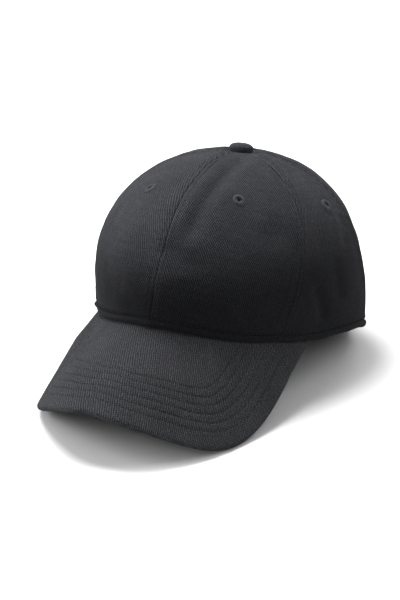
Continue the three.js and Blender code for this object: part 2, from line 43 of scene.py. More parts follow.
BRIM_DROP, BRIM_ARCH, BRIM_ARCH_GAIN, BRIM_HEM_Z, BRIM_END_ANGLE = 0.578585, 0.02, 0.008998, 4.8977, 70.4956
REST_TILT, REST_LIFT = 0.2275483, 23.0636
CLOTH, GAP, TAPE, TAPE_WIDTH = 1.2, 0.55, 0.6, 12.5
BRIM_CLOTH, BRIM_BOARD = 0.8, 2.3
BAND_HEIGHT, BAND_THICK = 32.0, 1.2
ARCH_HALF_WIDTH, ARCH_HEIGHT = 46.0, 50.0
CLOSURE_AXIS_Y, CLOSURE_R, CLOSURE_LEAN = 14.5, 84.0, 0.155
STRAP_THICK, STRAP_WIDTH, STRAP_Z0 = 1.2, 21.0, 2.6
SHIFT = np.array([1.6572914123535156, 38.45334252522707, 0.5982108685798622])
PI = math.pi
RAD = PI / 180


def to_row(p):
    """crown frame, mm, to row frame, metres"""
    p = np.asarray(p, float)
    c, s = math.cos(REST_TILT), math.sin(REST_TILT)
    x, y, z = p[..., 0], p[..., 1], p[..., 2]
    return np.stack([x + SHIFT[0], c * y + s * z + SHIFT[1], -s * y + c * z + REST_LIFT + SHIFT[2]], -1) / 1000.0


def ease(v):
    t = np.clip(v, 0, 1)
    return t * t * (3 - 2 * t)


def hem_xy(th):
    A, K = (CROWN_FRONT + CROWN_BACK) / 2, (CROWN_FRONT - CROWN_BACK) / 2
    return (CROWN_HALF_WIDTH * (np.sin(th) - 0.08 * np.sin(2 * th) - 0.0071 * np.sin(3 * th)),
            -(A * (0.990575 * np.cos(th) + 0.009425 * np.cos(3 * th)) + K * np.cos(2 * th)))


def brim_z(x, y):
    fwd = -CROWN_FRONT - y
    k = BRIM_ARCH + BRIM_ARCH_GAIN * np.maximum(fwd + 50, 0) / 100
    return (BRIM_HEM_Z - math.tan(BRIM_DROP) * (fwd + CROWN_FRONT + BRIM_END_Y)
            - 0.5 * k * x * x + 0.5 * BRIM_ARCH * BRIM_SPREAD * BRIM_SPREAD)


def hem_z(th):
    x, y = hem_xy(th)
    a = np.abs(th)
    w = ease((BRIM_END_ANGLE * RAD + 0.38 - a) / 0.38)
    back = ease((a / RAD - 112) / 38)
    return (w * brim_z(x, y) + 0.0272 * x * (1 - w) * (1 - back)
            + 5.986 * (1 - w) * (1 - back) * np.exp(-(((a - 1.75) / 0.45) ** 2)) - 3.1 * back)


def pow_a(th):
    return 3.33405 + 0.21729 * np.cos(th) - 0.05668 * np.cos(2 * th) - 0.1654 * np.sin(th)


def pow_b(th):
    return 2.06135 - 0.29652 * np.cos(th) + 0.05849 * np.cos(2 * th)


def crown_at(th, q):
    bx, by = hem_xy(th)
    hz = hem_z(th)
    s = np.maximum(1 - q ** pow_a(th), 0) ** (1 / pow_b(th)) * (1 + 0.02055 * np.sin(PI * np.clip(q / 0.6, 0, 1)))
    return np.stack([bx * s + 0.3142 * q - 2.8348 * np.sin(PI * q),
                     by * s - 2.5178 * q - 6.8308 * np.sin(PI * q) - 0.4403 * np.sin(2 * PI * q),
                     hz + (CROWN_HEIGHT - hz) * q], -1)


def q_of(th, u):
    return np.sin(u * PI / 2) ** (2 / pow_a(th))


def u_of(th, q):
    return 2 / PI * np.arcsin(np.clip(q, 0, 1) ** (pow_a(th) / 2))


def surf(th, u):
    return crown_at(th, q_of(th, u))


def unit(v):
    return v / np.maximum(np.linalg.norm(v, axis=-1, keepdims=True), 1e-12)


def normal_at(th, u):
    e = 1e-4
    u0 = np.clip(u, 0.004, 0.992)
    return unit(np.cross(surf(th + e, u0) - surf(th - e, u0), surf(th, u0 + e) - surf(th, u0 - e)))


def u_end(th, r):
    x, y = hem_xy(th)
    return 2 / PI * np.arccos((r / np.hypot(x, y)) ** (pow_b(th) / 2))


SEAMS = [
    lambda q: (-0.5576 + 2.5262 * q + 6.7471 * 4 * q * (1 - q)) * RAD,
    lambda q: (64.8109 + 6.1996 * 2 * (q - 0.5) - 5.7477 * (4 * (q - 0.5) ** 2 - 0.5)) * RAD,
    lambda q: (114 - 4 * q - 9 * q * q) * RAD,
    lambda q: PI + 0 * q,
    lambda q: -(114 - 4 * q - 9 * q * q) * RAD + 2 * PI,
    lambda q: -(62 + 5 * q - 6 * q * q) * RAD + 2 * PI,
    lambda q: (-0.5576 + 2.5262 * q + 6.7471 * 4 * q * (1 - q)) * RAD + 2 * PI,
]


def wrap(a):
    return np.where(a > PI, a - 2 * PI, a)


# ------------------------------------------------------------------ smooth, repeatable noise
def value_noise(p, seed):
    rng = np.random.RandomState(seed)
    T = rng.rand(32, 32, 32) * 2 - 1
    i = np.floor(p).astype(int)
    f = p - i
    f = f * f * (3 - 2 * f)
    out = 0
    for dx in (0, 1):
        for dy in (0, 1):
            for dz in (0, 1):
                w = (f[..., 0] if dx else 1 - f[..., 0]) * (f[..., 1] if dy else 1 - f[..., 1]) * (f[..., 2] if dz else 1 - f[..., 2])
                out = out + w * T[(i[..., 0] + dx) % 32, (i[..., 1] + dy) % 32, (i[..., 2] + dz) % 32]
    return out


# ------------------------------------------------------------------ mesh building
def make_mesh(name, verts, faces, uv=None, attrs=None, sharp=42, smooth=True):
    me = bpy.data.meshes.new(name)
    verts = np.asarray(verts, float)
    faces = np.asarray(faces, np.int32)
    n = len(faces)
    k = faces.shape[1]
    me.vertices.add(len(verts))
    me.vertices.foreach_set("co", verts.astype(np.float32).ravel())
    me.loops.add(n * k)
    me.loops.foreach_set("vertex_index", faces.ravel())
    me.polygons.add(n)
    me.polygons.foreach_set("loop_start", np.arange(0, n * k, k, dtype=np.int32))
    me.polygons.foreach_set("use_smooth", np.full(n, smooth))
    me.update(calc_edges=True)
    if uv is not None:
        layer = me.uv_layers.new(name="cloth")
        layer.data.foreach_set("uv", np.asarray(uv, np.float32)[faces.ravel()].ravel())
    for key, val in (attrs or {}).items():
        at = me.attributes.new(key, "FLOAT", "POINT")
        at.data.foreach_set("value", np.asarray(val, np.float32).ravel())
    me.validate()
    if smooth and sharp:
        me.set_sharp_from_angle(angle=math.radians(sharp))
    ob = bpy.data.objects.new(name, me)
    bpy.context.scene.collection.objects.link(ob)
    return ob


def slab(name, outer, inner, uv=None, attrs=None, mask=None, wrap_cols=False, **kw):
    """closed body between two matching grids (rows, columns, 3); cells switched off by mask become holes"""
    R, C = outer.shape[:2]
    idx = np.arange(R * C).reshape(R, C)
    cols = np.arange(C) if wrap_cols else np.arange(C - 1)
    nxt = (np.arange(C) + 1) % C
    if mask is None:
        mask = np.ones((R - 1, len(cols)), bool)
    I, J = np.nonzero(mask)
    a, b, c, d = idx[I, J], idx[I, nxt[J]], idx[I + 1, nxt[J]], idx[I + 1, J]
    N = R * C
    top = np.stack([a, b, c, d], -1)
    bot = np.stack([a, d, c, b], -1) + N
    walls = []
    up = mask & ~np.vstack([np.zeros((1, mask.shape[1]), bool), mask[:-1]])
    dn = mask & ~np.vstack([mask[1:], np.zeros((1, mask.shape[1]), bool)])
    if wrap_cols:
        lf = mask & ~np.roll(mask, 1, 1)
        rt = mask & ~np.roll(mask, -1, 1)
    else:
        lf = mask & ~np.hstack([np.zeros((mask.shape[0], 1), bool), mask[:, :-1]])
        rt = mask & ~np.hstack([mask[:, 1:], np.zeros((mask.shape[0], 1), bool)])
    for m, kind in ((up, 0), (dn, 1), (lf, 2), (rt, 3)):
        i, j = np.nonzero(m)
        if kind == 0:
            p, q = idx[i, nxt[j]], idx[i, j]
        elif kind == 1:
            p, q = idx[i + 1, j], idx[i + 1, nxt[j]]
        elif kind == 2:
            p, q = idx[i, j], idx[i + 1, j]
        else:
            p, q = idx[i + 1, nxt[j]], idx[i, nxt[j]]
        walls.append(np.stack([p, q, q + N, p + N], -1))
    faces = np.vstack([top, bot] + walls)
    verts = np.vstack([outer.reshape(-1, 3), inner.reshape(-1, 3)])
    # turn everything round if the outer sheet faces in
    k = len(top) // 2
    A, B, D = verts[top[:, 0]], verts[top[:, 1]], verts[top[:, 3]]
    nn = np.cross(B - A, D - A)
    if (nn * (outer.reshape(-1, 3)[top[:, 0]] - inner.reshape(-1, 3)[top[:, 0]])).sum() < 0:
        faces = faces[:, ::-1]
    used = np.unique(faces)
    remap = -np.ones(len(verts), int)
    remap[used] = np.arange(len(used))
    faces = remap[faces]
    verts = verts[used]
    if uv is not None:
        uv = np.vstack([uv.reshape(-1, 2)] * 2)[used]
    if attrs:
        attrs = {kk: np.concatenate([vv.ravel()] * 2)[used] for kk, vv in attrs.items()}
    return make_mesh(name, verts, faces, uv, attrs, **kw)


# ------------------------------------------------------------------ materials
def new_mat(name):
    m = bpy.data.materials.new(name)
    m.use_nodes = True
    nt = m.node_tree
    nt.nodes.clear()
    out = nt.nodes.new("ShaderNodeOutputMaterial")
    bsdf = nt.nodes.new("ShaderNodeBsdfPrincipled")
    nt.links.new(bsdf.outputs[0], out.inputs[0])
    return m, nt, bsdf


class G:
    """small helper for node graphs"""

    def __init__(self, nt):
        self.nt = nt

    def link(self, a, b):
        self.nt.links.new(a, b)

    def put(self, node, key, val):
        if hasattr(val, "is_output") or isinstance(val, bpy.types.NodeSocket):
            self.link(val, node.inputs[key])
        else:
            node.inputs[key].default_value = val

    def math(self, op, a, b=None, c=None, clamp=False):
        n = self.nt.nodes.new("ShaderNodeMath")
        n.operation = op
        n.use_clamp = clamp
        self.put(n, 0, a)
        if b is not None:
            self.put(n, 1, b)
        if c is not None:
            self.put(n, 2, c)
        return n.outputs[0]

    def vmath(self, op, a, b=None):
        n = self.nt.nodes.new("ShaderNodeVectorMath")
        n.operation = op
        self.put(n, 0, a)
        if b is not None:
            if op == "SCALE":
                n.inputs["Scale"].default_value = b
            else:
                self.put(n, 1, b)
        return n.outputs["Value"] if op in ("DOT_PRODUCT", "LENGTH") else n.outputs["Vector"]

    def noise(self, vec, scale, detail=2.0, rough=0.5, dims="3D"):
        n = self.nt.nodes.new("ShaderNodeTexNoise")
        n.noise_dimensions = dims
        if vec is not None:
            self.link(vec, n.inputs["Vector"])
        n.inputs["Scale"].default_value = scale
        n.inputs["Detail"].default_value = detail
        n.inputs["Roughness"].default_value = rough
        return n.outputs[0]

    def mixc(self, fac, a, b):
        n = self.nt.nodes.new("ShaderNodeMix")
        n.data_type = "RGBA"
        self.put(n, 0, fac)
        for key, val in ((6, a), (7, b)):
            if isinstance(val, bpy.types.NodeSocket):
                self.link(val, n.inputs[key])
            else:
                n.inputs[key].default_value = (*val, 1.0)
        return n.outputs[2]

    def remap(self, v, a, b, c, d):
        n = self.nt.nodes.new("ShaderNodeMapRange")
        n.interpolation_type = "SMOOTHSTEP"
        self.put(n, 0, v)
        for i, val in enumerate((a, b, c, d)):
            n.inputs[i + 1].default_value = val
        return n.outputs[0]

    def bump(self, height, dist, strength, normal=None):
        n = self.nt.nodes.new("ShaderNodeBump")
        n.inputs["Strength"].default_value = strength
        n.inputs["Distance"].default_value = dist
        self.link(height, n.inputs["Height"])
        if normal is not None:
            self.link(normal, n.inputs["Normal"])
        return n.outputs[0]

    def uv_mm(self):
        n = self.nt.nodes.new("ShaderNodeUVMap")
        n.uv_map = "cloth"
        return self.vmath("SCALE", n.outputs[0], 1000.0)

    def object_mm(self):
        n = self.nt.nodes.new("ShaderNodeTexCoord")
        return self.vmath("SCALE", n.outputs["Object"], 1000.0)


def cloth_mat(name, dark, light, angle=-30.0, pitch=1.25, contrast=1.0, bump=0.8, sheen=0.012, rough=0.9, sheen_rough=0.5,
              macro=0.12, plain=False, spec=0.08, cross=0.0, vivid=1.0, painted_top_light=None):
    """twill: steep diagonal ridges made of short floats, with slubs and washed patches"""
    m, nt, b = new_mat(name)
    g = G(nt)
    uv = g.uv_mm()
    wob = g.noise(uv, 0.22, 2.0, 0.55)
    wob2 = g.noise(uv, 1.1, 1.0, 0.5)
    a = angle * RAD
    w = g.vmath("DOT_PRODUCT", uv, (math.cos(a) / pitch, math.sin(a) / pitch, 0))
    w = g.math("ADD", w, g.math("MULTIPLY", g.math("SUBTRACT", wob, 0.5), 1.0))
    w = g.math("ADD", w, g.math("MULTIPLY", g.math("SUBTRACT", wob2, 0.5), 0.6))
    ridge = g.math("MULTIPLY_ADD", g.math("SINE", g.math("MULTIPLY", w, 2 * PI)), 0.5, 0.5)
    # floats: short yarns that step along the ridge
    f = g.vmath("DOT_PRODUCT", uv, (-math.sin(a) / (pitch * 0.95), math.cos(a) / (pitch * 0.95), 0))
    f = g.math("ADD", f, g.math("MULTIPLY", g.math("FLOOR", w), 0.37))
    fl = g.math("MULTIPLY_ADD", g.math("SINE", g.math("MULTIPLY", f, 2 * PI)), 0.5, 0.5)
    pat = g.math("MULTIPLY", ridge, g.math("MULTIPLY_ADD", fl, 0.5, 0.5))
    if cross:
        # yarns showing the other way, seen between the ridges
        c2 = g.vmath("DOT_PRODUCT", uv, (math.cos(cross * RAD) / (pitch * 1.02), math.sin(cross * RAD) / (pitch * 1.02), 0))
        c2 = g.math("ADD", c2, g.math("MULTIPLY", g.math("SUBTRACT", wob, 0.5), -0.6))
        r2 = g.math("MULTIPLY_ADD", g.math("SINE", g.math("MULTIPLY", c2, 2 * PI)), 0.5, 0.5)
        pat = g.math("MULTIPLY_ADD", g.math("SUBTRACT", r2, 0.5), 0.75, pat)
    if plain:
        h = g.vmath("DOT_PRODUCT", uv, (1 / pitch, 0, 0))
        v = g.vmath("DOT_PRODUCT", uv, (0, 1 / pitch, 0))
        sh = g.math("SINE", g.math("MULTIPLY", h, 2 * PI))
        sv = g.math("SINE", g.math("MULTIPLY", v, 2 * PI))
        pat = g.math("MULTIPLY_ADD", g.math("MULTIPLY", sh, sv), 0.5, 0.5)
    slub = g.noise(g.vmath("MULTIPLY", uv, (2.0, 0.35, 1.0)), 1.0, 2.0, 0.6)
    weft = g.noise(g.vmath("MULTIPLY", uv, (0.3, 1.7, 1.0)), 1.0, 2.0, 0.6)
    fuzz = g.noise(uv, 3.0, 3.0, 0.7)
    fleck = g.noise(uv, 0.95, 2.0, 0.6)
    weak = g.remap(g.noise(uv, 0.4, 2.0, 0.5), 0.35, 0.65, 0.55, 1.25)
    if painted_top_light:
        # painted shade: the weave is made fainter low on the crown, standing in for the duller light there
        z = g.vmath("DOT_PRODUCT", g.object_mm(), (0, 0, 1))
        weak = g.math("MULTIPLY", weak, g.remap(z, painted_top_light[0], 0.75 * painted_top_light[1], 0.75, 1.1))
    pat = g.math("MULTIPLY_ADD", g.math("SUBTRACT", pat, 0.36), weak, 0.36)
    patch = g.noise(uv, 0.035, 3.0, 0.6)
    t = g.math("MULTIPLY_ADD", g.math("SUBTRACT", pat, 0.36), 1.5 * contrast, 0.36)
    t = g.math("ADD", t, g.math("MULTIPLY", g.math("SUBTRACT", slub, 0.5), 0.5 * vivid))
    t = g.math("ADD", t, g.math("MULTIPLY", g.math("SUBTRACT", weft, 0.5), 0.35 * vivid))
    t = g.math("ADD", t, g.math("MULTIPLY", g.math("SUBTRACT", fleck, 0.5), 1.3 * vivid))
    t = g.math("ADD", t, g.math("MULTIPLY", g.math("SUBTRACT", fuzz, 0.5), 0.4), None, True)
    col = g.mixc(t, dark, light)
    gain = g.math("MULTIPLY_ADD", g.math("SUBTRACT", patch, 0.5), macro * 4, 1.0)
    if painted_top_light:
        # painted light: the cloth is made paler towards the top of the crown and darker low down, standing in for the
        # light falling on the top
        gain = g.math("MULTIPLY", gain, g.remap(z, painted_top_light[0], painted_top_light[1], painted_top_light[2], painted_top_light[3]))
    hsv = nt.nodes.new("ShaderNodeHueSaturation")
    g.link(col, hsv.inputs["Color"])
    g.link(gain, hsv.inputs["Value"])
    g.link(hsv.outputs[0], b.inputs["Base Color"])
    rr = g.math("MULTIPLY_ADD", fuzz, 0.12, rough - 0.06)
    g.link(rr, b.inputs["Roughness"])
    height = g.math("ADD", pat, g.math("MULTIPLY", fuzz, 0.5))
    height = g.math("ADD", height, g.math("MULTIPLY", fleck, 0.5))
    nrm = g.bump(height, 0.0003, bump)
    g.link(nrm, b.inputs["Normal"])
    b.inputs["Sheen Weight"].default_value = sheen
    b.inputs["Sheen Roughness"].default_value = sheen_rough
    b.inputs["Sheen Tint"].default_value = (0.92, 0.94, 1.0, 1)
    b.inputs["Specular IOR Level"].default_value = spec
    return m


def thread_mat(name, dark, light, sheen=0.04):
    m, nt, b = new_mat(name)
    g = G(nt)
    p = g.object_mm()
    n1 = g.noise(p, 2.6, 2.0, 0.6)
    n2 = g.noise(p, 0.08, 2.0, 0.5)
    t = g.math("MULTIPLY_ADD", g.math("SUBTRACT", n1, 0.5), 1.4, g.math("MULTIPLY_ADD", n2, 0.6, 0.2), True)
    g.link(g.mixc(t, dark, light), b.inputs["Base Color"])
    g.link(g.math("MULTIPLY_ADD", n1, 0.2, 0.55), b.inputs["Roughness"])
    g.link(g.bump(n1, 0.0001, 0.4), b.inputs["Normal"])
    b.inputs["Sheen Weight"].default_value = sheen
    b.inputs["Specular IOR Level"].default_value = 0.15
    return m


def metal_mat(name, dark, light, rough=0.32, scale=(0.05, 6.0, 6.0)):
    """worn plated metal: brushed one way, darker in the low spots"""
    m, nt, b = new_mat(name)
    g = G(nt)
    p = g.object_mm()
    br = g.noise(g.vmath("MULTIPLY", p, scale), 1.0, 3.0, 0.6)
    pt = g.noise(p, 0.16, 3.0, 0.5)
    t = g.math("ADD", g.math("MULTIPLY", br, 0.45), g.math("MULTIPLY", pt, 0.75), None, True)
    g.link(g.mixc(g.remap(t, 0.2, 1.0, 0.0, 1.0), dark, light), b.inputs["Base Color"])
    b.inputs["Metallic"].default_value = 1.0
    g.link(g.math("MULTIPLY_ADD", pt, 0.16, rough - 0.05), b.inputs["Roughness"])
    g.link(g.bump(g.math("ADD", br, g.math("MULTIPLY", pt, 0.6)), 0.00005, 0.2), b.inputs["Normal"])
    return m


def board_mat(name):
    m, nt, b = new_mat(name)
    g = G(nt)
    p = g.object_mm()
    n1 = g.noise(p, 0.25, 3.0, 0.55)
    n2 = g.noise(p, 4.0, 2.0, 0.5)
    g.link(g.mixc(n1, (0.62, 0.62, 0.60), (0.74, 0.74, 0.71)), b.inputs["Base Color"])
    g.link(g.math("MULTIPLY_ADD", n1, 0.2, 0.4), b.inputs["Roughness"])
    g.link(g.bump(n2, 0.0001, 0.25), b.inputs["Normal"])
    return m


DARK, LIGHT = (0.0077, 0.0079, 0.0089), (0.0350, 0.0358, 0.0394)
# painted light: the brim's cloth is about twice as pale as the crown's, standing in for the brighter light the brim
# gets
BRIM_DARK, BRIM_LIGHT = (0.0165, 0.0169, 0.0183), (0.0695, 0.071, 0.0755)
# painted light: the crown cloth is paler towards its top and darker low down, standing in for how the light falls
TWILL = cloth_mat("crown_twill", DARK, LIGHT, angle=-31, pitch=1.25, cross=31.0, sheen=0.03,
                  painted_top_light=(0.61 * CROWN_HEIGHT, 1.04 * CROWN_HEIGHT, 0.60, 1.85))
BRIM_TWILL = cloth_mat("brim_twill", BRIM_DARK, BRIM_LIGHT, angle=-21, pitch=1.36, contrast=0.75)
STRAP_TWILL = cloth_mat("strap_twill", DARK, LIGHT, angle=-30, pitch=1.1)
# painted light: the button's cloth is 1.5 to 2.1 times as pale as the crown's, standing in for the light on its domed
# top
BUTTON_TWILL = cloth_mat("button_twill", tuple(1.5 * c for c in DARK), tuple(2.1 * c for c in LIGHT), angle=-30, pitch=1.0, contrast=0.6, bump=0.5, sheen=0.03)
BAND_TWILL = cloth_mat("sweatband_twill", (0.020, 0.020, 0.022), (0.055, 0.056, 0.060), angle=40, pitch=0.9, bump=0.4)
TAPE_CLOTH = cloth_mat("seam_tape_cloth", (0.014, 0.014, 0.015), (0.040, 0.040, 0.043), pitch=0.8, bump=0.5, plain=True)
THREAD = thread_mat("sewing_thread", (0.008, 0.0082, 0.0092), (0.026, 0.0266, 0.0292))
# painted highlight: the eyelet thread is two to three times as pale as the crown cloth, standing in for the light
# caught on its raised ring
EYELET_THREAD = thread_mat("eyelet_thread", (0.017, 0.0173, 0.019), (0.095, 0.097, 0.104), sheen=0.04)
BRASS = metal_mat("antique_brass", (0.13, 0.10, 0.055), (0.40, 0.31, 0.18))
STEEL = metal_mat("plated_steel", (0.30, 0.30, 0.30), (0.58, 0.58, 0.57), rough=0.35)
PLASTIC = board_mat("brim_board_plastic")


def dress(ob, mat, body="cap", replaces=()):
    ob.data.materials.clear()
    ob.data.materials.append(mat)
    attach(ob, body)
    if replaces:
        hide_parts(*replaces)
    return ob


# ------------------------------------------------------------------ folds and dents of the soft crown
# (theta in degrees, height share) points of each fold's line, its half-width and depth in mm
FOLDS = [
    ([(38, .975), (33, .955), (25.5, .90), (23, .842), (19.5, .756), (19.5, .682), (18.5, .585), (14, .49)], 5.2, -2.5),
    ([(17.5, .935), (15.5, .858), (14.0, .752), (13.0, .667), (12.0, .60)], 4.0, 0.9),
    ([(-15, .56), (-9, .53), (0, .474), (6, .46), (11, .468), (17, .449), (24, .42), (32, .42)], 7.0, -2.3),
    ([(3, .27), (8, .28), (13.5, .30), (19, .32), (26, .325)], 6.2, 1.8),
    ([(46, .57), (53, .60), (60, .61), (65, .55), (67, .46)], 8.5, -1.6),
    ([(61, .87), (58, .785), (54.5, .70)], 6.0, 0.7),
    ([(73, .33), (74.8, .258), (76.3, .172), (77.8, .08)], 4.6, -1.7),
    ([(84, .48), (85.5, .32), (86, .20)], 5.5, -0.9),
    ([(100, .70), (97, .60), (94.5, .50)], 5.5, -0.9),
    ([(-46, .66), (-36, .55), (-24, .46)], 8.0, -1.2),
    ([(-34, .36), (-24, .27), (-13, .21)], 8.0, -0.9),
    ([(40, .25), (52, .22), (64, .21)], 9.0, -0.8),
    ([(140, .62), (150, .55), (163, .52)], 8.0, -1.2),
    ([(-120, .45), (-135, .38), (-150, .36)], 8.0, -1.4),
    ([(-80, .55), (-95, .50), (-108, .52)], 9.0, -1.2),
    ([(125, .30), (138, .28), (150, .33)], 7.0, -1.0),
]


def polyline(points):
    th = np.array([p[0] for p in points]) * RAD
    q = np.array([p[1] for p in points])
    t = np.linspace(0, len(points) - 1, 12 * (len(points) - 1) + 1)
    k = np.arange(len(points))
    return crown_at(np.interp(t, k, th), np.interp(t, k, q))


def fold_field(P):
    """outward displacement, mm, at crown points"""
    flat = P.reshape(-1, 3)
    d = np.zeros(len(flat))
    for pts, width, depth in FOLDS:
        L = polyline(pts)
        lo, hi = L.min(0) - 3.2 * width, L.max(0) + 3.2 * width
        near = np.all((flat > lo) & (flat < hi), 1)
        if not near.any():
            continue
        F = flat[near]
        D = np.linalg.norm(F[:, None] - L[None], axis=2)
        k = D.argmin(1)
        share = k / (len(L) - 1)
        fade = np.clip(np.minimum(share, 1 - share) * 5, 0, 1)
        fade = 0.15 + 0.85 * ease(fade)
        d[near] += depth * np.exp(-((D.min(1) / width) ** 2)) * fade
    return d.reshape(P.shape[:-1])


def drape(P):
    """the cloth's slight unevenness"""
    return (0.55 * value_noise(P / 24.0 + 3.1, 11) + 0.22 * value_noise(P / 9.0 + 7.7, 12)
            + 0.07 * value_noise(P / np.array([3.2, 3.2, 5.0]) + 1.3, 13))


EYELETS = [
    ("eyelet_front_left", 0, 38.4, 0.775), ("eyelet_side_left", 1, 90.5, 0.749), ("eyelet_back_left", 2, 144, 0.76),
    ("eyelet_back_right", 3, -144, 0.76), ("eyelet_side_right", 4, -88, 0.75), ("eyelet_front_right", 5, -24, 0.775)]
PANELS = ["front_left_panel", "side_left_panel", "back_left_panel", "back_right_panel", "side_right_panel", "front_right_panel"]
TIP_R = 1.3
SEAM_LINE = [0.85, 0.35, 0.6, 0.8, 0.6, 0.6]


def panel_angles(k, A, V):
    """theta and u on panel k for fractions A across and V up"""
    a, v = np.meshgrid(A, V)
    th = SEAMS[k](0.5) * (1 - a) + SEAMS[k + 1](0.5) * a
    for _ in range(9):
        t = wrap(th)
        u = v * u_end(t, TIP_R)
        q = q_of(t, u)
        p = crown_at(t, q)
        r = np.maximum(np.hypot(p[..., 0] - 0.3, p[..., 1] + 2.5), 1.5)
        lo, hi = SEAMS[k](q) - 0.02 / r, SEAMS[k + 1](q) + 0.02 / r
        th = lo * (1 - a) + hi * a
    return wrap(th), u


def spread(total, fine, coarse, edge):
    """positions 0..total, fine within edge of either end"""
    n1 = int(round(edge / fine))
    a = np.linspace(0, edge, n1 + 1)
    m = max(int(round((total - 2 * edge) / coarse)), 2)
    b = np.linspace(edge, total - edge, m + 1)[1:-1]
    return np.concatenate([a, b, total - a[::-1]]) / total


def seam_profile(d, deep=1.0, line=1.0):
    """cloth height beside a seam, mm; d is the distance from the seam"""
    return (-0.5 * line * np.exp(-((d / 0.38) ** 2)) + 0.20 * ease((d - 0.2) / 1.2) * (1 - ease((d - 4.6) / 3.0))
            - 0.20 * deep * np.exp(-(((d - 2.9) / 0.5) ** 2)))


def hem_profile(h, full=1.0):
    """the turned, stitched hem"""
    band = np.clip(1 - (np.abs(h - 2.05) / 2.25) ** 3, 0, 1) ** 0.6
    return 1.8 * full * band - 0.8 * np.exp(-(((h - 4.75) / 0.5) ** 2)) + 0.3 * np.exp(-(((h - 7.0) / 1.6) ** 2))


def arc_lengths(P, axis):
    d = np.linalg.norm(np.diff(P, axis=axis), axis=-1)
    z = np.zeros_like(np.take(d, [0], axis=axis))
    return np.concatenate([z, np.cumsum(d, axis=axis)], axis=axis)


def row_fractions(k):
    """fractions up a panel that space its rows evenly, closer together over the hem"""
    fine = np.concatenate([[0], np.geomspace(1e-8, 1, 900)])
    th, u = panel_angles(k, np.array([0.5]), fine)
    up = arc_lengths(surf(th, u), 0)[:, 0]
    want = np.concatenate([[0, 0.3, 0.7, 1.2, 1.8, 2.4, 2.9], np.arange(3.2, 6.1, 0.2), [6.3, 6.7, 7.2, 7.8, 8.5], np.linspace(9.3, up[-1], 106)])
    return np.interp(want, up, fine)


def in_arch(x, z, grow=0.0):
    """inside the window over the closure (crown frame x, z)"""
    W, H = ARCH_HALF_WIDTH + grow, ARCH_HEIGHT + grow
    t = np.clip(1 - (np.abs(x) / W) ** (2.0), 0, None)
    return (np.abs(x) < W) & (z < H * t ** 0.45)




def soft_field(P, up, total):
    return (fold_field(P) + drape(P)) * ease((up - 3.0) / 14.0) * ease((total - up) / 14.0)


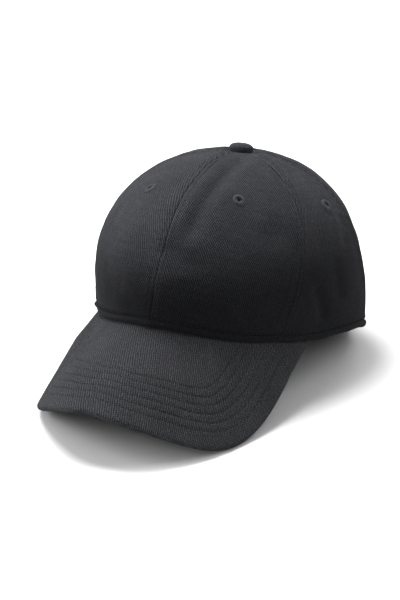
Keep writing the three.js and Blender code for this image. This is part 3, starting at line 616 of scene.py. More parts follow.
CROWN = {}
for k, name in enumerate(PANELS):
    A = spread(92.0, 0.45, 1.7, 8.1)
    V = row_fractions(k)
    th, u = panel_angles(k, A, V)
    P = surf(th, u)
    N = normal_at(th, u)
    across = arc_lengths(P, 1)
    d1, d2 = across, across[:, -1:] - across
    up = arc_lengths(P, 0)
    fade = ease((up[-1:] - up) / 10.0)          # the seams flatten under the button
    stitch = np.exp(-(((d1 - 2.9) / 0.5) ** 2)) + np.exp(-(((d2 - 2.9) / 0.5) ** 2))
    deep = 1 + 1.6 * ease((up / up[-1:] - 0.55) / 0.25)
    soften = 0.65 + 0.35 * ease(up / up[-1:] / 0.6)
    disp = seam_profile(d1, deep, SEAM_LINE[k] * soften) + seam_profile(d2, deep, SEAM_LINE[(k + 1) % 6] * soften) - 0.06 * stitch * np.sin(up * 2 * PI / 2.9)
    deg = th / RAD
    disp = disp * (0.5 + 0.5 * fade) + hem_profile(up, np.interp(deg, [-180, -100, -75, -55, -35, 8, 35, 180], [0.35, 0.4, 0.4, 0.55, 0.95, 1.0, 0.45, 0.35]))
    # the hem flares over the brim's right end
    disp = disp + 2.2 * np.exp(-(((deg + 68) / 22) ** 2)) * (1 - ease((up - 2.0) / 22.0))
    disp = disp - 0.12 * np.exp(-(((up - 4.7) / 0.8) ** 2)) * np.sin(across * 2 * PI / 3.0)
    soft = ease((up - 3.0) / 14.0) * ease((up[-1:] - up) / 14.0)
    # cloth shortened by its seams ripples a little beside them
    lump = np.exp(-(((up - 2.3) / 2.0) ** 2)) * (np.exp(-((d1 / 3.6) ** 2)) + np.exp(-((d2 / 3.6) ** 2))) * ease(up / 0.8)
    disp = disp + (1.1 if k in (0, 5) else 0.4) * lump
    rip = np.exp(-((d1 / 7.0) ** 2)) + np.exp(-((d2 / 7.0) ** 2))
    ripple = 0.16 * rip * value_noise(np.stack([up / 6.5, d1 * 0 + k * 3.3, np.minimum(d1, d2) / 9.0], -1), 21) * fade
    disp = disp + soft_field(P, up, up[-1:]) + ripple * soft
    rb = np.hypot(P[..., 0] - 0.3142, P[..., 1] + 2.5178)
    disp = disp - 1.9 * np.exp(-((rb / 10.0) ** 2)) + 1.1 * ease((rb - 8) / 10) * (1 - ease((rb - 34) / 34))
    name_e, _, te, qe = EYELETS[k]
    c = crown_at(np.array(te * RAD), np.array(qe))
    de = np.linalg.norm(P - c, axis=-1)
    disp = disp * (1 - 0.8 * np.exp(-((de / 6.0) ** 2))) - 0.5 * np.exp(-((de / 4.9) ** 2))
    Q = P + N * disp[..., None]
    thick = 0.9 + 0.8 * (1 - ease((up - 6.5) / 2.0)) * ease(up / 1.0)
    thick = np.where(up < 0.5, 0.9, thick)
    inner = P - N * (CLOTH + 0.05) + N * np.minimum(soft_field(P, up, up[-1:]), disp)[..., None] * 0.9 * ease((up - 3.0) / 6.0)[..., None]
    # a turned lower edge: the last half millimetre rolls in
    roll = 1 - ease(up / 1.0)
    inner = inner + N * (0.5 * roll ** 2)[..., None]
    centre = across - across[:, -1:] / 2
    uv = np.stack([centre, up], -1) / 1000.0
    cell = 0.25 * (P[:-1, :-1] + P[1:, :-1] + P[:-1, 1:] + P[1:, 1:])
    dc = np.linalg.norm(cell - c, axis=-1)
    mask = dc > 2.6
    CROWN[k] = dict(P=P, Q=Q, N=N, up=up, across=across)
    if k in (2, 3):
        mask &= ~((cell[..., 1] > 40) & in_arch(cell[..., 0], cell[..., 2], 0.9))
    ob = slab(name + "_cloth", to_row(Q), to_row(inner), uv, mask=mask, sharp=60)
    dress(ob, TWILL, "cap", (name,))

# ------------------------------------------------------------------ brim
def brim_edge(u):
    al = u * PI / 2
    a2 = np.abs(al)
    m = 2 / BRIM_SQUARENESS
    x = BRIM_SPREAD * np.abs(np.sin(al)) ** m - 5.0309 * np.sin(2 * a2) - 4.4302 * np.sin(4 * a2)
    return np.sign(u) * x, BRIM_END_Y - BRIM_REACH * np.maximum(np.cos(al), 0) ** m + 0.3077 * np.sin(2 * a2) ** 2


BRIM_HALF = BRIM_BOARD / 2 + 0.35 + BRIM_CLOTH


def brim_mid(x, y, reach):
    e = 0.05
    n = unit(np.stack([-(brim_z(x + e, y) - brim_z(x - e, y)) / (2 * e), -(brim_z(x, y + e) - brim_z(x, y - e)) / (2 * e), np.ones_like(x)], -1))
    v = np.clip(reach / 45, 0, 1)
    down = (BRIM_HALF + 0.75) * (1 - v) - 0.9 * v
    return np.stack([x, y, brim_z(x, y)], -1) - n * down[..., None], n


NU = 300
uu = np.linspace(-1, 1, 6001)
ex, ey = brim_edge(uu)
el = np.concatenate([[0], np.cumsum(np.hypot(np.diff(ex), np.diff(ey)))])
ub = np.interp(np.linspace(0, el[-1], NU + 1), el, uu)
ex, ey = brim_edge(ub)
# the worn brim: its right end spreads a little at the hem and its right corner is pulled back
ex = ex - np.interp(ub, [-1, -.975, -.95, -.9, -.85, -.8, -.72], [2.2, 3.2, 3.8, 3.2, 1.9, .9, 0])
ey = ey + np.interp(ub, [-.8, -.7, -.6, -.5, -.4, -.25, 0], [0, 1.4, 2.6, 3.0, 2.6, 1.5, 0])
thb = np.linspace(-1, 1, NU + 1) * (BRIM_END_ANGLE + 0.3) * RAD
hx, hy = hem_xy(thb)
hr = np.hypot(hx, hy)
ax, ay = hx * (1 - 1.2 / hr), hy * (1 - 1.2 / hr)
LEN = np.hypot(ax - ex, ay - ey)
ROWS_AT = [10.8 + 5.55 * i for i in range(6)]
levels = [0, .25, .5, .8, 1.2, 1.7, 2.3, 3.0, 4.0, 5.2, 6.6, 8.2, 9.6]
for r in ROWS_AT:
    levels += [r - .7, r - .35, r, r + .35, r + .7, r + 1.7, r + 2.8, r + 3.9]
levels = np.array(levels)
# distance from the free edge along each line, sampled finely, then inverted
SV = np.linspace(0, 1, 161)
sx = ax[:, None] + (ex - ax)[:, None] * SV
sy = ay[:, None] + (ey - ay)[:, None] * SV
smid, _ = brim_mid(sx, sy, SV * LEN[:, None])
edge3 = smid[:, -1]
dist = np.empty(sx.shape)
for i in range(0, NU + 1):
    dist[i] = np.sqrt(((smid[i][:, None] - edge3[None]) ** 2).sum(-1)).min(1)
dist = np.minimum.accumulate(dist, axis=1)
NI = 34
VV = np.empty((NU + 1, NI + len(levels)))
for i in range(NU + 1):
    dmax = dist[i, 0]
    L = levels * min(1.0, dmax / 44.0) if dmax < 44.0 else levels
    outv = np.interp(L, dist[i][::-1], SV[::-1])
    VV[i] = np.concatenate([np.linspace(0, outv.min(), NI + 1)[:-1], outv[::-1]])
bx = ax[:, None] + (ex - ax)[:, None] * VV
by = ay[:, None] + (ey - ay)[:, None] * VV
BM, BN = brim_mid(bx, by, VV * LEN[:, None])
BD = np.array([np.sqrt(((BM[i][:, None] - edge3[None]) ** 2).sum(-1)).min(1) for i in range(NU + 1)])
# cloth coordinates: along x over the arch, and forward
s_fwd = np.hypot(1.0, math.tan(BRIM_DROP))
uvb = np.stack([bx * (1 + 0.00006 * bx * bx), (-CROWN_FRONT - by) * s_fwd], -1) / 1000.0


def brim_rows(D):
    h = 0
    for r in ROWS_AT:
        h = h - 0.34 * np.exp(-(((D - r) / 0.55) ** 2))
        h = h + 0.10 * np.exp(-(((D - r - 2.8) / 1.5) ** 2))
    return h


along_b = arc_lengths(BM, 0)
for side, name in ((1, "brim_top_fabric"), (-1, "brim_bottom_fabric")):
    R = 2.25
    roll = np.where(BD < R, np.sqrt(np.clip(1 - (1 - BD / R) ** 2, 0, 1)), 1.0)
    height = BRIM_HALF * roll
    puck = sum(np.exp(-(((BD - r) / 0.8) ** 2)) for r in ROWS_AT)
    relief = (brim_rows(BD) - 0.05 * puck * np.sin(along_b * 2 * PI / 2.9)) * ease((BD - 3) / 3)
    relief = relief + 0.10 * value_noise(BM / 7.0, 31 + side) + 0.16 * value_noise(BM / 21.0, 33 + side)
    relief = relief * ease(BD / 3)
    O = BM + BN * (side * (height + relief))[..., None]
    I = BM + BN * (side * (height - 0.85 * roll + 0.02) * np.where(BD < R, 1, 1))[..., None]
    I = np.where((BD < R)[..., None], BM + BN * (side * 0.03 * (BD / R))[..., None] + 0, I)
    ob = slab(name + "_cloth", to_row(O), to_row(I), uvb, sharp=60)
    dress(ob, BRIM_TWILL, "cap", (name,))
dress_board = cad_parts["brim_board"]
dress_board.data.materials.clear()
dress_board.data.materials.append(PLASTIC)


# ------------------------------------------------------------------ stitches
def stitch_mesh(name, rows, length=2.25, gap=0.62, radius=0.24, sink=0.1):
    """rows: list of (points mm (n,3), normals (n,3)); each stitch is a small rounded yarn that dives at both ends"""
    V, F = [], []
    ring, seg = 6, 5
    base = 0
    rng = np.random.RandomState(5)
    for P, N in rows:
        s = np.concatenate([[0], np.cumsum(np.linalg.norm(np.diff(P, axis=0), axis=1))])
        n = int(s[-1] // (length + gap))
        if n < 1:
            continue
        step = s[-1] / n
        for i in range(n):
            jit = rng.uniform(-0.06, 0.06)
            a = i * step + gap / 2 + jit
            b = (i + 1) * step - gap / 2 + jit
            t = np.linspace(a, b, seg + 1)
            C = np.stack([np.interp(t, s, P[:, c]) for c in range(3)], -1)
            M = unit(np.stack([np.interp(t, s, N[:, c]) for c in range(3)], -1))
            T = unit(np.gradient(C, axis=0))
            B = unit(np.cross(T, M))
            x = np.linspace(-1, 1, seg + 1)
            lift = radius * 0.75 * (1 - x ** 4) - sink - 0.30 * x ** 6
            rad = radius * (1 - 0.55 * x ** 6)
            ang = np.linspace(0, 2 * PI, ring, endpoint=False)
            pts = (C + M * lift[:, None])[:, None] + B[:, None] * (np.cos(ang)[None, :, None] * rad[:, None, None]) \
                + M[:, None] * (np.sin(ang)[None, :, None] * rad[:, None, None] * 0.85)
            V.append(pts.reshape(-1, 3))
            V.append(C[[0, -1]] + M[[0, -1]] * lift[[0, -1], None])
            for r in range(seg):
                for c in range(ring):
                    d = (c + 1) % ring
                    F.append((base + r * ring + c, base + r * ring + d, base + (r + 1) * ring + d, base + (r + 1) * ring + c))
            e0, e1 = base + (seg + 1) * ring, base + (seg + 1) * ring + 1
            for c in range(0, ring, 2):
                d, g2 = (c + 1) % ring, (c + 2) % ring
                F.append((e0, base + g2, base + d, base + c))
                o = base + seg * ring
                F.append((e1, o + c, o + d, o + g2))
            base += (seg + 1) * ring + 2
    V = np.vstack(V)
    ob = make_mesh(name, to_row(V), np.array(F), None, None, sharp=0)
    return ob


def contour(P, N, field, level, keep=None):
    """points where field crosses level along each column of a grid, row by row direction given by axis 1"""
    pts, nrm = [], []
    for i in range(P.shape[0]):
        f = field[i]
        j = np.nonzero((f[:-1] - level) * (f[1:] - level) <= 0)[0]
        if len(j) == 0 or (keep is not None and not keep[i]):
            continue
        j = j[0]
        t = (level - f[j]) / (f[j + 1] - f[j] + 1e-12)
        pts.append(P[i, j] * (1 - t) + P[i, j + 1] * t)
        nrm.append(N[i, j] * (1 - t) + N[i, j + 1] * t)
    return np.array(pts), unit(np.array(nrm))


rows = []
for k in range(6):
    c = CROWN[k]
    ok = (c["up"][:, 0] > 6.5) & (c["across"][:, -1] > 9)
    for side in (0, 1):
        f = c["across"] if side == 0 else c["across"][:, -1:] - c["across"]
        keep = ok.copy()
        if k in (2, 3):
            edge = c["P"][:, 0 if side == 0 else -1]
            keep &= ~((edge[:, 1] > 40) & in_arch(edge[:, 0], edge[:, 2], 1.0))
        P, N = contour(c["Q"], c["N"], f, 2.9, keep)
        rows.append((P, N))
ob = stitch_mesh("crown_seam_stitches", rows, radius=0.2, sink=0.12)
dress(ob, THREAD, "cap")
rows = []
for k in range(6):
    c = CROWN[k]
    keep = np.ones(c["Q"].shape[1], bool)
    if k in (2, 3):
        keep = ~in_arch(c["P"][0, :, 0], c["P"][0, :, 2] + 6.0, 0.0)
    P, N = contour(np.swapaxes(c["Q"], 0, 1), np.swapaxes(c["N"], 0, 1), c["up"].T, 4.85, keep)
    rows.append((P, N))
ob = stitch_mesh("hem_stitches", rows, length=2.4, radius=0.22, sink=0.05)
dress(ob, THREAD, "cap")
for side, name in ((1, "brim_top_stitches"), (-1, "brim_under_stitches")):
    rows = []
    for r in ROWS_AT:
        keep = BD[:, 0] > r + 1.5
        surf_pts = BM + BN * (side * (BRIM_HALF + brim_rows(BD)))[..., None]
        P, N = contour(surf_pts, BN * side, BD, r, keep)
        rows.append((P, N))
    ob = stitch_mesh(name, rows, length=2.3, gap=0.7, radius=0.22, sink=0.02)
    dress(ob, THREAD, "cap")


# ------------------------------------------------------------------ eyelets
def eyelet(name, te, qe):
    th = np.array(te * RAD)
    u = u_of(th, np.array(qe))
    c = surf(th, u)
    n = normal_at(th, u)
    t1 = unit(np.cross(n, np.array([0, 0, 1.0])))
    t2 = np.cross(n, t1)
    strands, sub = 27, 8
    n1 = strands * sub
    ang = np.linspace(0, 2 * PI, n1, endpoint=False)
    x = np.linspace(0, 1, 15)
    # section from the bore's bottom, over the raised ring, down to the cloth
    r0 = np.interp(x, [0, .15, .28, .42, .56, .70, .85, 1], [1.25, 1.2, 1.3, 1.8, 2.65, 3.5, 4.1, 4.25])
    z0 = np.interp(x, [0, .15, .28, .42, .56, .70, .85, 1], [-1.4, -0.45, .3, .95, 1.2, .95, .2, -.75])
    rng = np.random.RandomState(int(abs(te)) + 3)
    jitter = np.repeat(rng.uniform(-0.16, 0.16, strands), sub)
    jitz = np.repeat(rng.uniform(-0.14, 0.14, strands), sub)
    phase = (np.arange(n1) % sub) / sub
    bead = np.abs(np.sin(PI * phase))
    w = ease(x / 0.25)
    R = r0[:, None] + (jitter[None] * x[:, None] ** 2)
    Z = z0[:, None] + 0.30 * (bead[None] - 0.6) * w[:, None] + jitz[None]
    slant = ang[None] + 0.10 * x[:, None]
    O = c + n * Z[..., None] + t1 * (R * np.cos(slant))[..., None] + t2 * (R * np.sin(slant))[..., None]
    Zi = np.minimum(Z - 0.35, -0.35)
    Ri = np.where(x[:, None] < 0.45, R + 0.38, R - 0.1)
    I = c + n * Zi[..., None] + t1 * (Ri * np.cos(slant))[..., None] + t2 * (Ri * np.sin(slant))[..., None]
    ob = slab(name + "_thread", to_row(O), to_row(I), None, wrap_cols=True, sharp=0)
    return ob


for name, k, te, qe in EYELETS:
    dress(eyelet(name, te, qe), EYELET_THREAD, "cap", (name,))


# ------------------------------------------------------------------ button
def lathe(name, prof, n, centre, mat, wave=None, **kw):
    prof = np.array(prof, float)
    ang = np.linspace(0, 2 * PI, n, endpoint=False)
    m = len(prof)
    r, z = prof[:, 0][:, None] + 0 * ang, prof[:, 1][:, None] + 0 * ang
    if wave is not None:
        r, z = wave(r, z, ang[None] + 0 * r)
    V = np.stack([r * np.cos(ang), r * np.sin(ang), z], -1).reshape(-1, 3) + centre
    F = []
    for i in range(m - 1):
        for j in range(n):
            k = (j + 1) % n
            F.append((i * n + j, i * n + k, (i + 1) * n + k, (i + 1) * n + j))
    s = np.concatenate([[0], np.cumsum(np.hypot(*np.diff(prof, axis=0).T))])[:, None] + 0 * ang
    uv = np.stack([s * np.cos(ang), s * np.sin(ang)], -1).reshape(-1, 2) / 1000.0
    ob = make_mesh(name, to_row(V), np.array(F), uv, None, **kw)
    me = ob.data
    bm = bmesh.new()
    bm.from_mesh(me)
    bmesh.ops.remove_doubles(bm, verts=bm.verts, dist=1e-6)
    bmesh.ops.recalc_face_normals(bm, faces=bm.faces)
    bm.to_mesh(me)
    bm.free()
    return ob


TOP = np.array([0.3142, -2.5178, CROWN_HEIGHT + 0.35])


def gathers(r, z, a):
    k = ease((r - 5.0) / 2.6)
    w = 0.05 * np.sin(a * 17 + 0.7 * np.sin(a * 3)) + 0.03 * np.sin(a * 29 + 1.1)
    dip = 0.06 * np.sin(a * 2 + 0.5)
    return r * (1 + 0.012 * k * w * 6), z - 0.25 * k * np.abs(w) * 2 + dip * ease(1 - r / 8)


outer = [(0.001, 4.75)] + [(7.85 * math.sin(t) ** 0.9, 1.35 + 3.4 * math.cos(t) ** 0.9) for t in np.linspace(0.1, PI / 2, 26)]
outer += [(7.84, 0.7), (7.7, 0.0), (7.45, -0.8), (7.2, -1.7), (7.0, -2.3), (6.75, -2.4), (6.5, -1.2), (6.3, -0.2), (4.4, 0.25), (4.4, 0.55), (6.6, 0.7), (6.85, 1.2), (5.6, 2.5), (3.2, 3.3), (0.001, 3.6)]
ob = lathe("button_cover_cloth", outer, 96, TOP, BUTTON_TWILL, wave=gathers, sharp=0)
dress(ob, BUTTON_TWILL, "cap", ("button_cover",))
back = [(2.3, -4.3), (2.3, -5.2), (3.0, -5.45), (4.6, -5.3), (5.8, -4.75), (6.25, -4.2), (6.3, -3.9), (6.1, -3.8), (2.3, -3.8), (2.3, -4.3)]
ob = lathe("button_backing_cap", back, 72, TOP, STEEL, sharp=35)
dress(ob, STEEL, "cap", ("button_backing",))
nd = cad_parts["button_shell"]
nd.data.materials.clear()
nd.data.materials.append(STEEL)

# ------------------------------------------------------------------ seam tapes, binding, sweatband
def seam_path(k, v0, v1, n):
    v = np.linspace(v0, v1, n)
    th = wrap(SEAMS[k](0.5) + 0 * v)
    for _ in range(8):
        u = v * u_end(th, 2.4)
        th = wrap(SEAMS[k](q_of(th, u)))
    return th, v * u_end(th, 2.4)


def tape_grid(th, u, d, thick, half):
    P = surf(th, u)
    Q2 = surf(th + 0.01, u)
    k = 0.01 / np.linalg.norm(Q2 - P, axis=-1)
    cols = np.linspace(-1, 1, 9)
    O, I = [], []
    for c in cols:
        t = wrap(th + c * half * k)
        S, M = surf(t, u), normal_at(t, u)
        rise = S[:, 2] - hem_z(t)
        S = S + M * np.minimum(soft_field(S, rise, 150.0) - 0.15, 0)[:, None]
        e = 1 - abs(c) ** 10
        O.append(S - M * (d + 0.12 * (1 - e)))
        I.append(S - M * (d + thick * (0.7 + 0.3 * e)))
    O, I = np.stack(O, 1), np.stack(I, 1)
    L = arc_lengths(O, 0)
    uv = np.stack([np.broadcast_to(cols * half, L.shape), L], -1) / 1000.0
    return O, I, uv


TAPE_OUT = CLOTH + GAP
for name, k in (("seam_tape_left_front", 1), ("seam_tape_left_rear", 2), ("seam_tape_right_rear", 4), ("seam_tape_right_front", 5)):
    th, u = seam_path(k, 0.035, 0.8, 90)
    O, I, uv = tape_grid(th, u, TAPE_OUT, TAPE, TAPE_WIDTH / 2)
    dress(slab(name + "_cloth", to_row(O), to_row(I), uv, sharp=50), TAPE_CLOTH, "cap", (name,))
thf, uf = seam_path(0, 0.035, 0.9, 90)
thk, ukk = seam_path(3, 0.43, 0.9, 50)
Of, If, _ = tape_grid(thf, uf, TAPE_OUT, TAPE, TAPE_WIDTH / 2)
Ob, Ib, _ = tape_grid(thk[::-1], ukk[::-1], TAPE_OUT, TAPE, TAPE_WIDTH / 2)
Ob, Ib = Ob[:, ::-1], Ib[:, ::-1]
Om, Im = [], []
for t in np.linspace(0, 1, 14)[1:-1]:
    s = t * t * (3 - 2 * t)
    lift = 4 * t * (1 - t) * 1.35
    Om.append(Of[-1] * (1 - t) + Ob[0] * t + np.array([0, 0, lift * 0.9]))
    Im.append(If[-1] * (1 - t) + Ib[0] * t + np.array([0, 0, lift * 0.9]))
O = np.concatenate([Of, np.array(Om), Ob])
I = np.concatenate([If, np.array(Im), Ib])
L = arc_lengths(O, 0)
uv = np.stack([np.broadcast_to(np.linspace(-1, 1, 9) * TAPE_WIDTH / 2, L.shape), L], -1) / 1000.0
cell = 0.25 * (O[:-1, :-1] + O[1:, :-1] + O[:-1, 1:] + O[1:, 1:])
mask = np.hypot(cell[..., 0] - TOP[0], cell[..., 1] - TOP[1]) > 2.6
dress(slab("seam_tape_center_cloth", to_row(O), to_row(I), uv, mask=mask, sharp=50), TAPE_CLOTH, "cap", ("seam_tape_center",))


def closure_r(z):
    return CLOSURE_R - CLOSURE_LEAN * z


def wall_at(th, h, d):
    q = h / (CROWN_HEIGHT - hem_z(th))
    u = u_of(th, np.maximum(q, 1e-6))
    return surf(th, u) - normal_at(th, u) * np.asarray(d)[..., None]


a0 = 146.5 * RAD
TH = np.linspace(-a0, a0, 260)
HB = np.array([1.0, 1.3, 2.0, 3.5, 5, 6, 8, 11, 14, 17, 20, 23, 26, 28.5, 30.2, 31.2, 31.8, 32.0])
thg, hg = np.meshgrid(TH, HB)
d0 = CLOTH + GAP + TAPE + 0.45


def band_sheet(extra):
    a = wall_at(thg, hg, d0 + extra)
    base_a = wall_at(thg, hg, d0 + 0 * hg)
    z = base_a[..., 2]
    dx, dy = base_a[..., 0], base_a[..., 1] - CLOSURE_AXIS_Y
    r = np.hypot(dx, dy)
    lim = closure_r(z) - STRAP_THICK - 0.9
    shift = ease((np.abs(thg) / RAD - 96) / 16) * np.maximum(0, r - lim)
    return a - np.stack([dx / r * shift, dy / r * shift, 0 * r], -1)


edge = np.clip((hg - 1.0) / 0.8, 0, 1) * np.clip((32.0 - hg) / 0.8, 0, 1)
rnd = np.sqrt(np.clip(1 - (1 - edge) ** 2, 0, 1))
ripple = 0.35 * value_noise(np.stack([thg * 9, hg / 14.0, 0 * hg], -1), 41) * ease((hg - 6) / 16)
ripple = ripple - 0.22 * np.exp(-(((hg - 28.4) / 0.6) ** 2)) - 0.22 * np.exp(-(((hg - 6.0) / 0.6) ** 2))
O = band_sheet(0.55 - 0.5 * rnd)
I = band_sheet(0.65 + (0.5 + 0.0) * rnd + np.maximum(ripple, -0.3) * rnd)
Lb = arc_lengths(O, 1)
uv = np.stack([Lb, hg + 0 * Lb], -1) / 1000.0
dress(slab("sweatband_cloth", to_row(O), to_row(I), uv, sharp=60), BAND_TWILL, "cap", ("sweatband",))
BAND_IN = I

# stitches along the sweatband's top, seen from inside
rows = []
inn = band_sheet(0.65 + 0.5 + 0 * hg)
nb = unit(np.cross(np.gradient(inn, axis=1), np.gradient(inn, axis=0)))
if (nb[0, 0] * inn[0, 0] * np.array([1, 1, 0])).sum() > 0:
    nb = -nb
for h in (28.4, 6.0):
    j = int(np.argmin(np.abs(HB - h)))
    rows.append((inn[j], nb[j]))
ob = stitch_mesh("sweatband_stitches", rows, length=2.6, sink=0.1)
dress(ob, THREAD, "cap")


def back_at(x, z, d):
    """point on the back wall for a given x and height"""
    x, z = np.asarray(x, float), np.asarray(z, float)
    th = PI - np.arcsin(np.clip(x / 92, -1, 1))
    th = np.where(th > PI, th - 2 * PI, th)
    q = 0.2 + 0 * x
    for _ in range(30):
        hz = hem_z(th)
        q = np.clip((z - hz) / (CROWN_HEIGHT - hz), 0, 0.95)
        p = crown_at(th, q)
        e = (crown_at(th + 1e-4, q)[..., 0] - p[..., 0]) / 1e-4
        th = th + np.clip((x - p[..., 0]) / e, -0.2, 0.2)
        th = np.where(th > PI, th - 2 * PI, th)
        th = np.where(th < -PI, th + 2 * PI, th)
    u = u_of(th, np.maximum(q, 1e-6))
    n = normal_at(th, u)
    return surf(th, u) - n * np.asarray(d)[..., None], n


# rolled edge of the arch: the cloth turned round its rim, over the whole opening
al = np.linspace(PI, 0, 180)
zs = ARCH_HEIGHT * np.maximum(np.sin(al), 0) ** 0.9
rim_x = ARCH_HALF_WIDTH * np.cos(al)
prof_w = np.array([2.6, 2.3, 1.2, 0.2, -0.35, -0.55, -0.35, 0.2, 2.0, 5.0, 8.6, 9.0, 8.6, 5.0, 3.0])
prof_d = np.array([0.1, -0.22, -0.40, -0.42, -0.25, 0.5, 1.35, 1.72, 1.78, 1.78, 1.78, 2.05, 2.35, 2.38, 2.38])
ring = []
for w_, d_ in zip(prof_w, prof_d):
    X = (ARCH_HALF_WIDTH + w_) * np.cos(al)
    Z = (ARCH_HEIGHT + w_) * np.maximum(np.sin(al), 0) ** 0.9
    base_z = -2.2 + (0 * al)
    Z = np.maximum(Z, base_z + 0 * Z)
    p, n = back_at(X, np.maximum(Z, -1.8), np.full_like(X, d_))
    ring.append(p)
ring = np.array(ring)
V = np.swapaxes(ring, 0, 1)
n_, m_ = V.shape[:2]
F = []
for i in range(n_ - 1):
    for j in range(m_):
        k = (j + 1) % m_
        F.append((i * m_ + j, i * m_ + k, (i + 1) * m_ + k, (i + 1) * m_ + j))
L = arc_lengths(V, 0)
uvr = np.stack([np.broadcast_to(prof_w, L.shape), L], -1) / 1000.0
ob = make_mesh("arch_binding_cloth", to_row(V.reshape(-1, 3)), np.array(F), uvr.reshape(-1, 2), None, sharp=50)
bm = bmesh.new()
bm.from_mesh(ob.data)
bmesh.ops.holes_fill(bm, edges=[e for e in bm.edges if e.is_boundary], sides=0)
bmesh.ops.recalc_face_normals(bm, faces=bm.faces)
bm.to_mesh(ob.data)
bm.free()
dress(ob, TWILL, "cap", ("arch_binding",))


# ------------------------------------------------------------------ closure
def arc_point(s, r, z):
    f = s / CLOSURE_R
    R = closure_r(z) + r
    return np.stack([R * np.sin(f), CLOSURE_AXIS_Y + R * np.cos(f), z + 0 * f], -1)


def cloth_band(name, s0, s1, r0, r1, z0, z1, bulge=0.1, stitch_in=2.2, step=0.8):
    """folded strap: soft rounded edges, stitched grooves near both long edges; r0 > r1 in radius"""
    s = np.arange(s0, s1 + step / 2, step)
    zz = np.concatenate([[0, .12, .35, .7, 1.2], np.linspace(1.7, z1 - z0 - 1.7, 26), [z1 - z0 - 1.2, z1 - z0 - .7, z1 - z0 - .35, z1 - z0 - .12, z1 - z0]])
    S, Z = np.meshgrid(s, zz, indexing="ij")
    ed = np.clip(np.minimum(Z, (z1 - z0) - Z) / 0.6, 0, 1)
    ends = np.clip(np.minimum(S - s0, s1 - S) / 0.6, 0, 1)
    rnd = np.sqrt(np.clip(1 - (1 - np.minimum(ed, ends)) ** 2, 0, 1))
    mid = (r0 + r1) / 2
    half = (r0 - r1) / 2
    groove = 0.16 * (np.exp(-(((Z - stitch_in) / 0.45) ** 2)) + np.exp(-(((z1 - z0 - Z - stitch_in) / 0.45) ** 2)))
    puff = 0.05 * value_noise(np.stack([S / 5, Z / 6, 0 * S], -1), 51)
    h = half * rnd - (groove - puff) * rnd
    O = arc_point(S, mid + h, z0 + Z)
    I = arc_point(S, mid - h, z0 + Z)
    uv = np.stack([Z, S], -1) / 1000.0
    ob = slab(name, to_row(O), to_row(I), uv, sharp=60)
    nrm = unit(O - I)
    rows = []
    for zt in (stitch_in, z1 - z0 - stitch_in):
        j = int(np.argmin(np.abs(zz - zt)))
        rows.append((arc_point(s, mid + half * 0.9 - 0.1 + 0 * s, z0 + zz[j] + 0 * s), nrm[:, j]))
    return ob, rows


S0, S1 = STRAP_Z0, STRAP_Z0 + STRAP_WIDTH
ob, srows = cloth_band("closure_strap_cloth", -74, 40, 0.0, -STRAP_THICK, S0, S1)
dress(ob, STRAP_TWILL, "strap", ("closure_strap",))
ob = stitch_mesh("closure_strap_stitches", srows, length=2.3, radius=0.2, sink=0.13)
dress(ob, THREAD, "strap")

for nm, mt in (("buckle_frame", BRASS), ("buckle_lever", BRASS), ("buckle_pin", STEEL)):
    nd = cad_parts[nm]
    nd.data.materials.clear()
    nd.data.materials.append(mt)
    bv = nd.modifiers.new("soft_edges", "BEVEL")
    bv.width = 0.00018
    bv.segments = 2
    bv.limit_method = "ANGLE"
    bv.angle_limit = math.radians(35)
    for p in nd.data.polygons:
        p.use_smooth = True
    nd.data.set_sharp_from_angle(angle=math.radians(28))

# tab: one folded strip that goes round the bar
C0, C1 = S0 - 0.5 + 0.35, S1 + 0.5 - 0.35
BAR_S, BAR_R = 25.8, 2.85
outline = []
for s in np.arange(62, 36, -0.8):
    outline.append((s, 1.4, 0))
outline += [(35, 1.55, 0), (33, 2.05, 0), (31, 2.95, 0), (29.4, 3.9, 0), (28.2, 4.62, 0)]
for a in np.linspace(65, 270, 30):
    outline.append((BAR_S + 2.45 * math.cos(a * RAD), BAR_R + 2.45 * math.sin(a * RAD), 0))
for s in np.arange(27, 62.4, 0.8):
    outline.append((s, 0.4, 0))
outline = np.array(outline)
hole = np.array([(BAR_S + 1.42 * math.cos(a), BAR_R + 1.42 * math.sin(a)) for a in np.linspace(0, 2 * PI, len(outline), endpoint=False)])
n = len(outline)
zz = np.concatenate([[0, .15, .45], np.linspace(1, C1 - C0 - 1, 20), [C1 - C0 - .45, C1 - C0 - .15, C1 - C0]])
V, F, UVt = [], [], []
per = np.concatenate([[0], np.cumsum(np.linalg.norm(np.diff(outline[:, :2], axis=0), axis=1))])
for z in zz:
    e = min(z, C1 - C0 - z)
    k = math.sqrt(max(0.0, 1 - (1 - min(e / 0.5, 1)) ** 2))
    sh = 0.35 * (1 - k)
    g_ = 0.14 * (math.exp(-(((e - 2.2) / 0.45) ** 2)))
    for (s, r, _), L_ in zip(outline, per):
        rr = r + (0.9 - r) * (sh / 0.7 + g_) if s > 33 else r
        V.append(arc_point(np.array(s), np.array(rr), np.array(C0 + z)))
        UVt.append((z, L_))
m = len(zz)
for i in range(m - 1):
    for j in range(n - 1):
        F.append((i * n + j, i * n + j + 1, (i + 1) * n + j + 1, (i + 1) * n + j))
    F.append((i * n + n - 1, i * n, (i + 1) * n, (i + 1) * n + n - 1))
ob = make_mesh("closure_tab_cloth", to_row(np.array(V)), np.array(F), np.array(UVt) / 1000.0, None, sharp=60)
bm = bmesh.new()
bm.from_mesh(ob.data)
bm.verts.ensure_lookup_table()
for i in (0, m - 1):
    bmesh.ops.contextual_create(bm, geom=[bm.verts[i * n + j] for j in range(n)])
bmesh.ops.triangulate(bm, faces=[f for f in bm.faces if len(f.verts) > 4])
bmesh.ops.recalc_face_normals(bm, faces=bm.faces)
bm.to_mesh(ob.data)
bm.free()
dress(ob, STRAP_TWILL, "cap", ("closure_tab",))

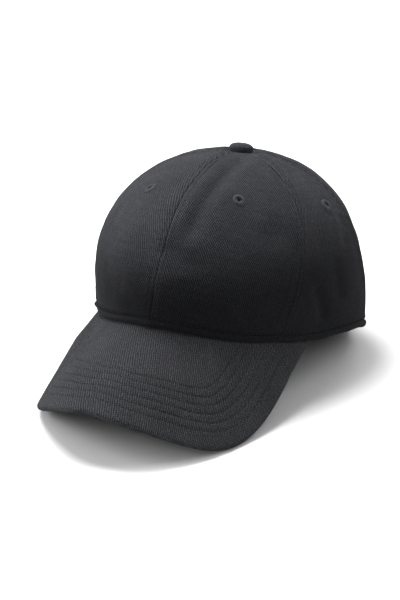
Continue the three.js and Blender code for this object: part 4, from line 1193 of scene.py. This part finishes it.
# ------------------------------------------------------------------ stage
fm, nt, b = new_mat("studio_floor")
g = G(nt)
n0 = g.noise(g.object_mm(), 0.02, 2.0, 0.5)
g.link(g.mixc(n0, (0.58, 0.58, 0.58), (0.60, 0.60, 0.60)), b.inputs["Base Color"])
b.inputs["Roughness"].default_value = 0.9
b.inputs["Specular IOR Level"].default_value = 0.1
# the lamps light only the middle of the sweep, so its far part glows to stay pale
far = g.vmath("LENGTH", g.vmath("MULTIPLY", g.object_mm(), (0.001, 0.001, 0.0)))
b.inputs["Emission Color"].default_value = (1.0, 1.0, 1.0, 1)
g.link(g.remap(far, 1.0, 2.8, 0.0, 0.92), b.inputs["Emission Strength"])
bpy.ops.mesh.primitive_plane_add(size=60, location=(0, 0, 0))
floor = bpy.context.object
floor.name = "studio_floor"
floor.data.materials.append(fm)

world = bpy.data.worlds.new("studio")
bpy.context.scene.world = world
world.use_nodes = True
bg = world.node_tree.nodes["Background"]
bg.inputs[0].default_value = (1.0, 1.0, 1.0, 1)
wg = G(world.node_tree)
way = world.node_tree.nodes.new("ShaderNodeTexCoord")
rise = wg.vmath("DOT_PRODUCT", way.outputs["Generated"], (0, 0, 1))
wg.link(wg.remap(rise, 0.12, 0.30, 0.90, 0.04), bg.inputs[1])

AIM = Vector((0.0, 0.0, 0.06))


def area(name, az, el, dist, size, power, color=(1, 1, 1)):
    """soft light: azimuth 0 is in front of the cap (-Y), +90 on the wearer's left (+X)"""
    a, e = math.radians(az), math.radians(el)
    d = Vector((math.sin(a) * math.cos(e), -math.cos(a) * math.cos(e), math.sin(e)))
    li = bpy.data.lights.new(name, "AREA")
    li.shape = "DISK"
    li.size = size
    li.energy = power
    li.color = color
    ob = bpy.data.objects.new(name, li)
    bpy.context.scene.collection.objects.link(ob)
    ob.location = AIM + d * dist
    ob.rotation_mode = "QUATERNION"
    ob.rotation_quaternion = (-d).to_track_quat("-Z", "Y")
    return ob


area("key_top_right", -105, 70, 1.8, 0.9, 53.0)
area("front_low", -15, 25, 1.8, 0.9, 8.0)
area("front", -15, 50, 1.8, 0.9, 2.0)
area("right_front_low", -60, 25, 1.8, 0.9, 27.0)
area("right_front", -60, 50, 1.8, 0.9, 7.6)
area("left_rear_low", 120, 25, 1.8, 0.9, 14.0)
area("left_rear", 120, 50, 1.8, 0.9, 9.0)
area("rear_low", 180, 25, 1.8, 0.9, 9.6)
area("rear", 180, 50, 1.8, 0.9, 5.0)
area("left_front_low", 30, 25, 1.8, 0.9, 7.0)
area("left_front", 30, 50, 1.8, 0.9, 2.0)

scn = bpy.context.scene
scn.view_settings.view_transform = "Standard"
scn.view_settings.look = "None"
scn.view_settings.exposure = 0.0
scn.view_settings.gamma = 0.8

# ------------------------------------------------------------------ camera
AZ, EL, DIST, FPX, CX, CY = 26.2308, 20.7837, 1.21033, 1847.309, 224.7736, 284.2613
a, e = math.radians(AZ), math.radians(EL)
back_v = Vector((math.sin(a) * math.cos(e), -math.cos(a) * math.cos(e), math.sin(e)))
target = Vector((0, 0, 0.05)) + Vector(SHIFT / 1000.0)
cam = bpy.data.cameras.new("camera")
cam_ob = bpy.data.objects.new("camera", cam)
scn.collection.objects.link(cam_ob)
cam.sensor_fit = "AUTO"
cam.sensor_width = 36.0
cam.lens = FPX * 36.0 / 600.0
cam.shift_x = (200 - CX) / 600.0
cam.shift_y = (CY - 300) / 600.0
cam_ob.location = target + back_v * DIST
cam_ob.rotation_mode = "QUATERNION"
cam_ob.rotation_quaternion = (-back_v).to_track_quat("-Z", "Y")
cam.clip_start, cam.clip_end = 0.05, 50
scn.camera = cam_ob
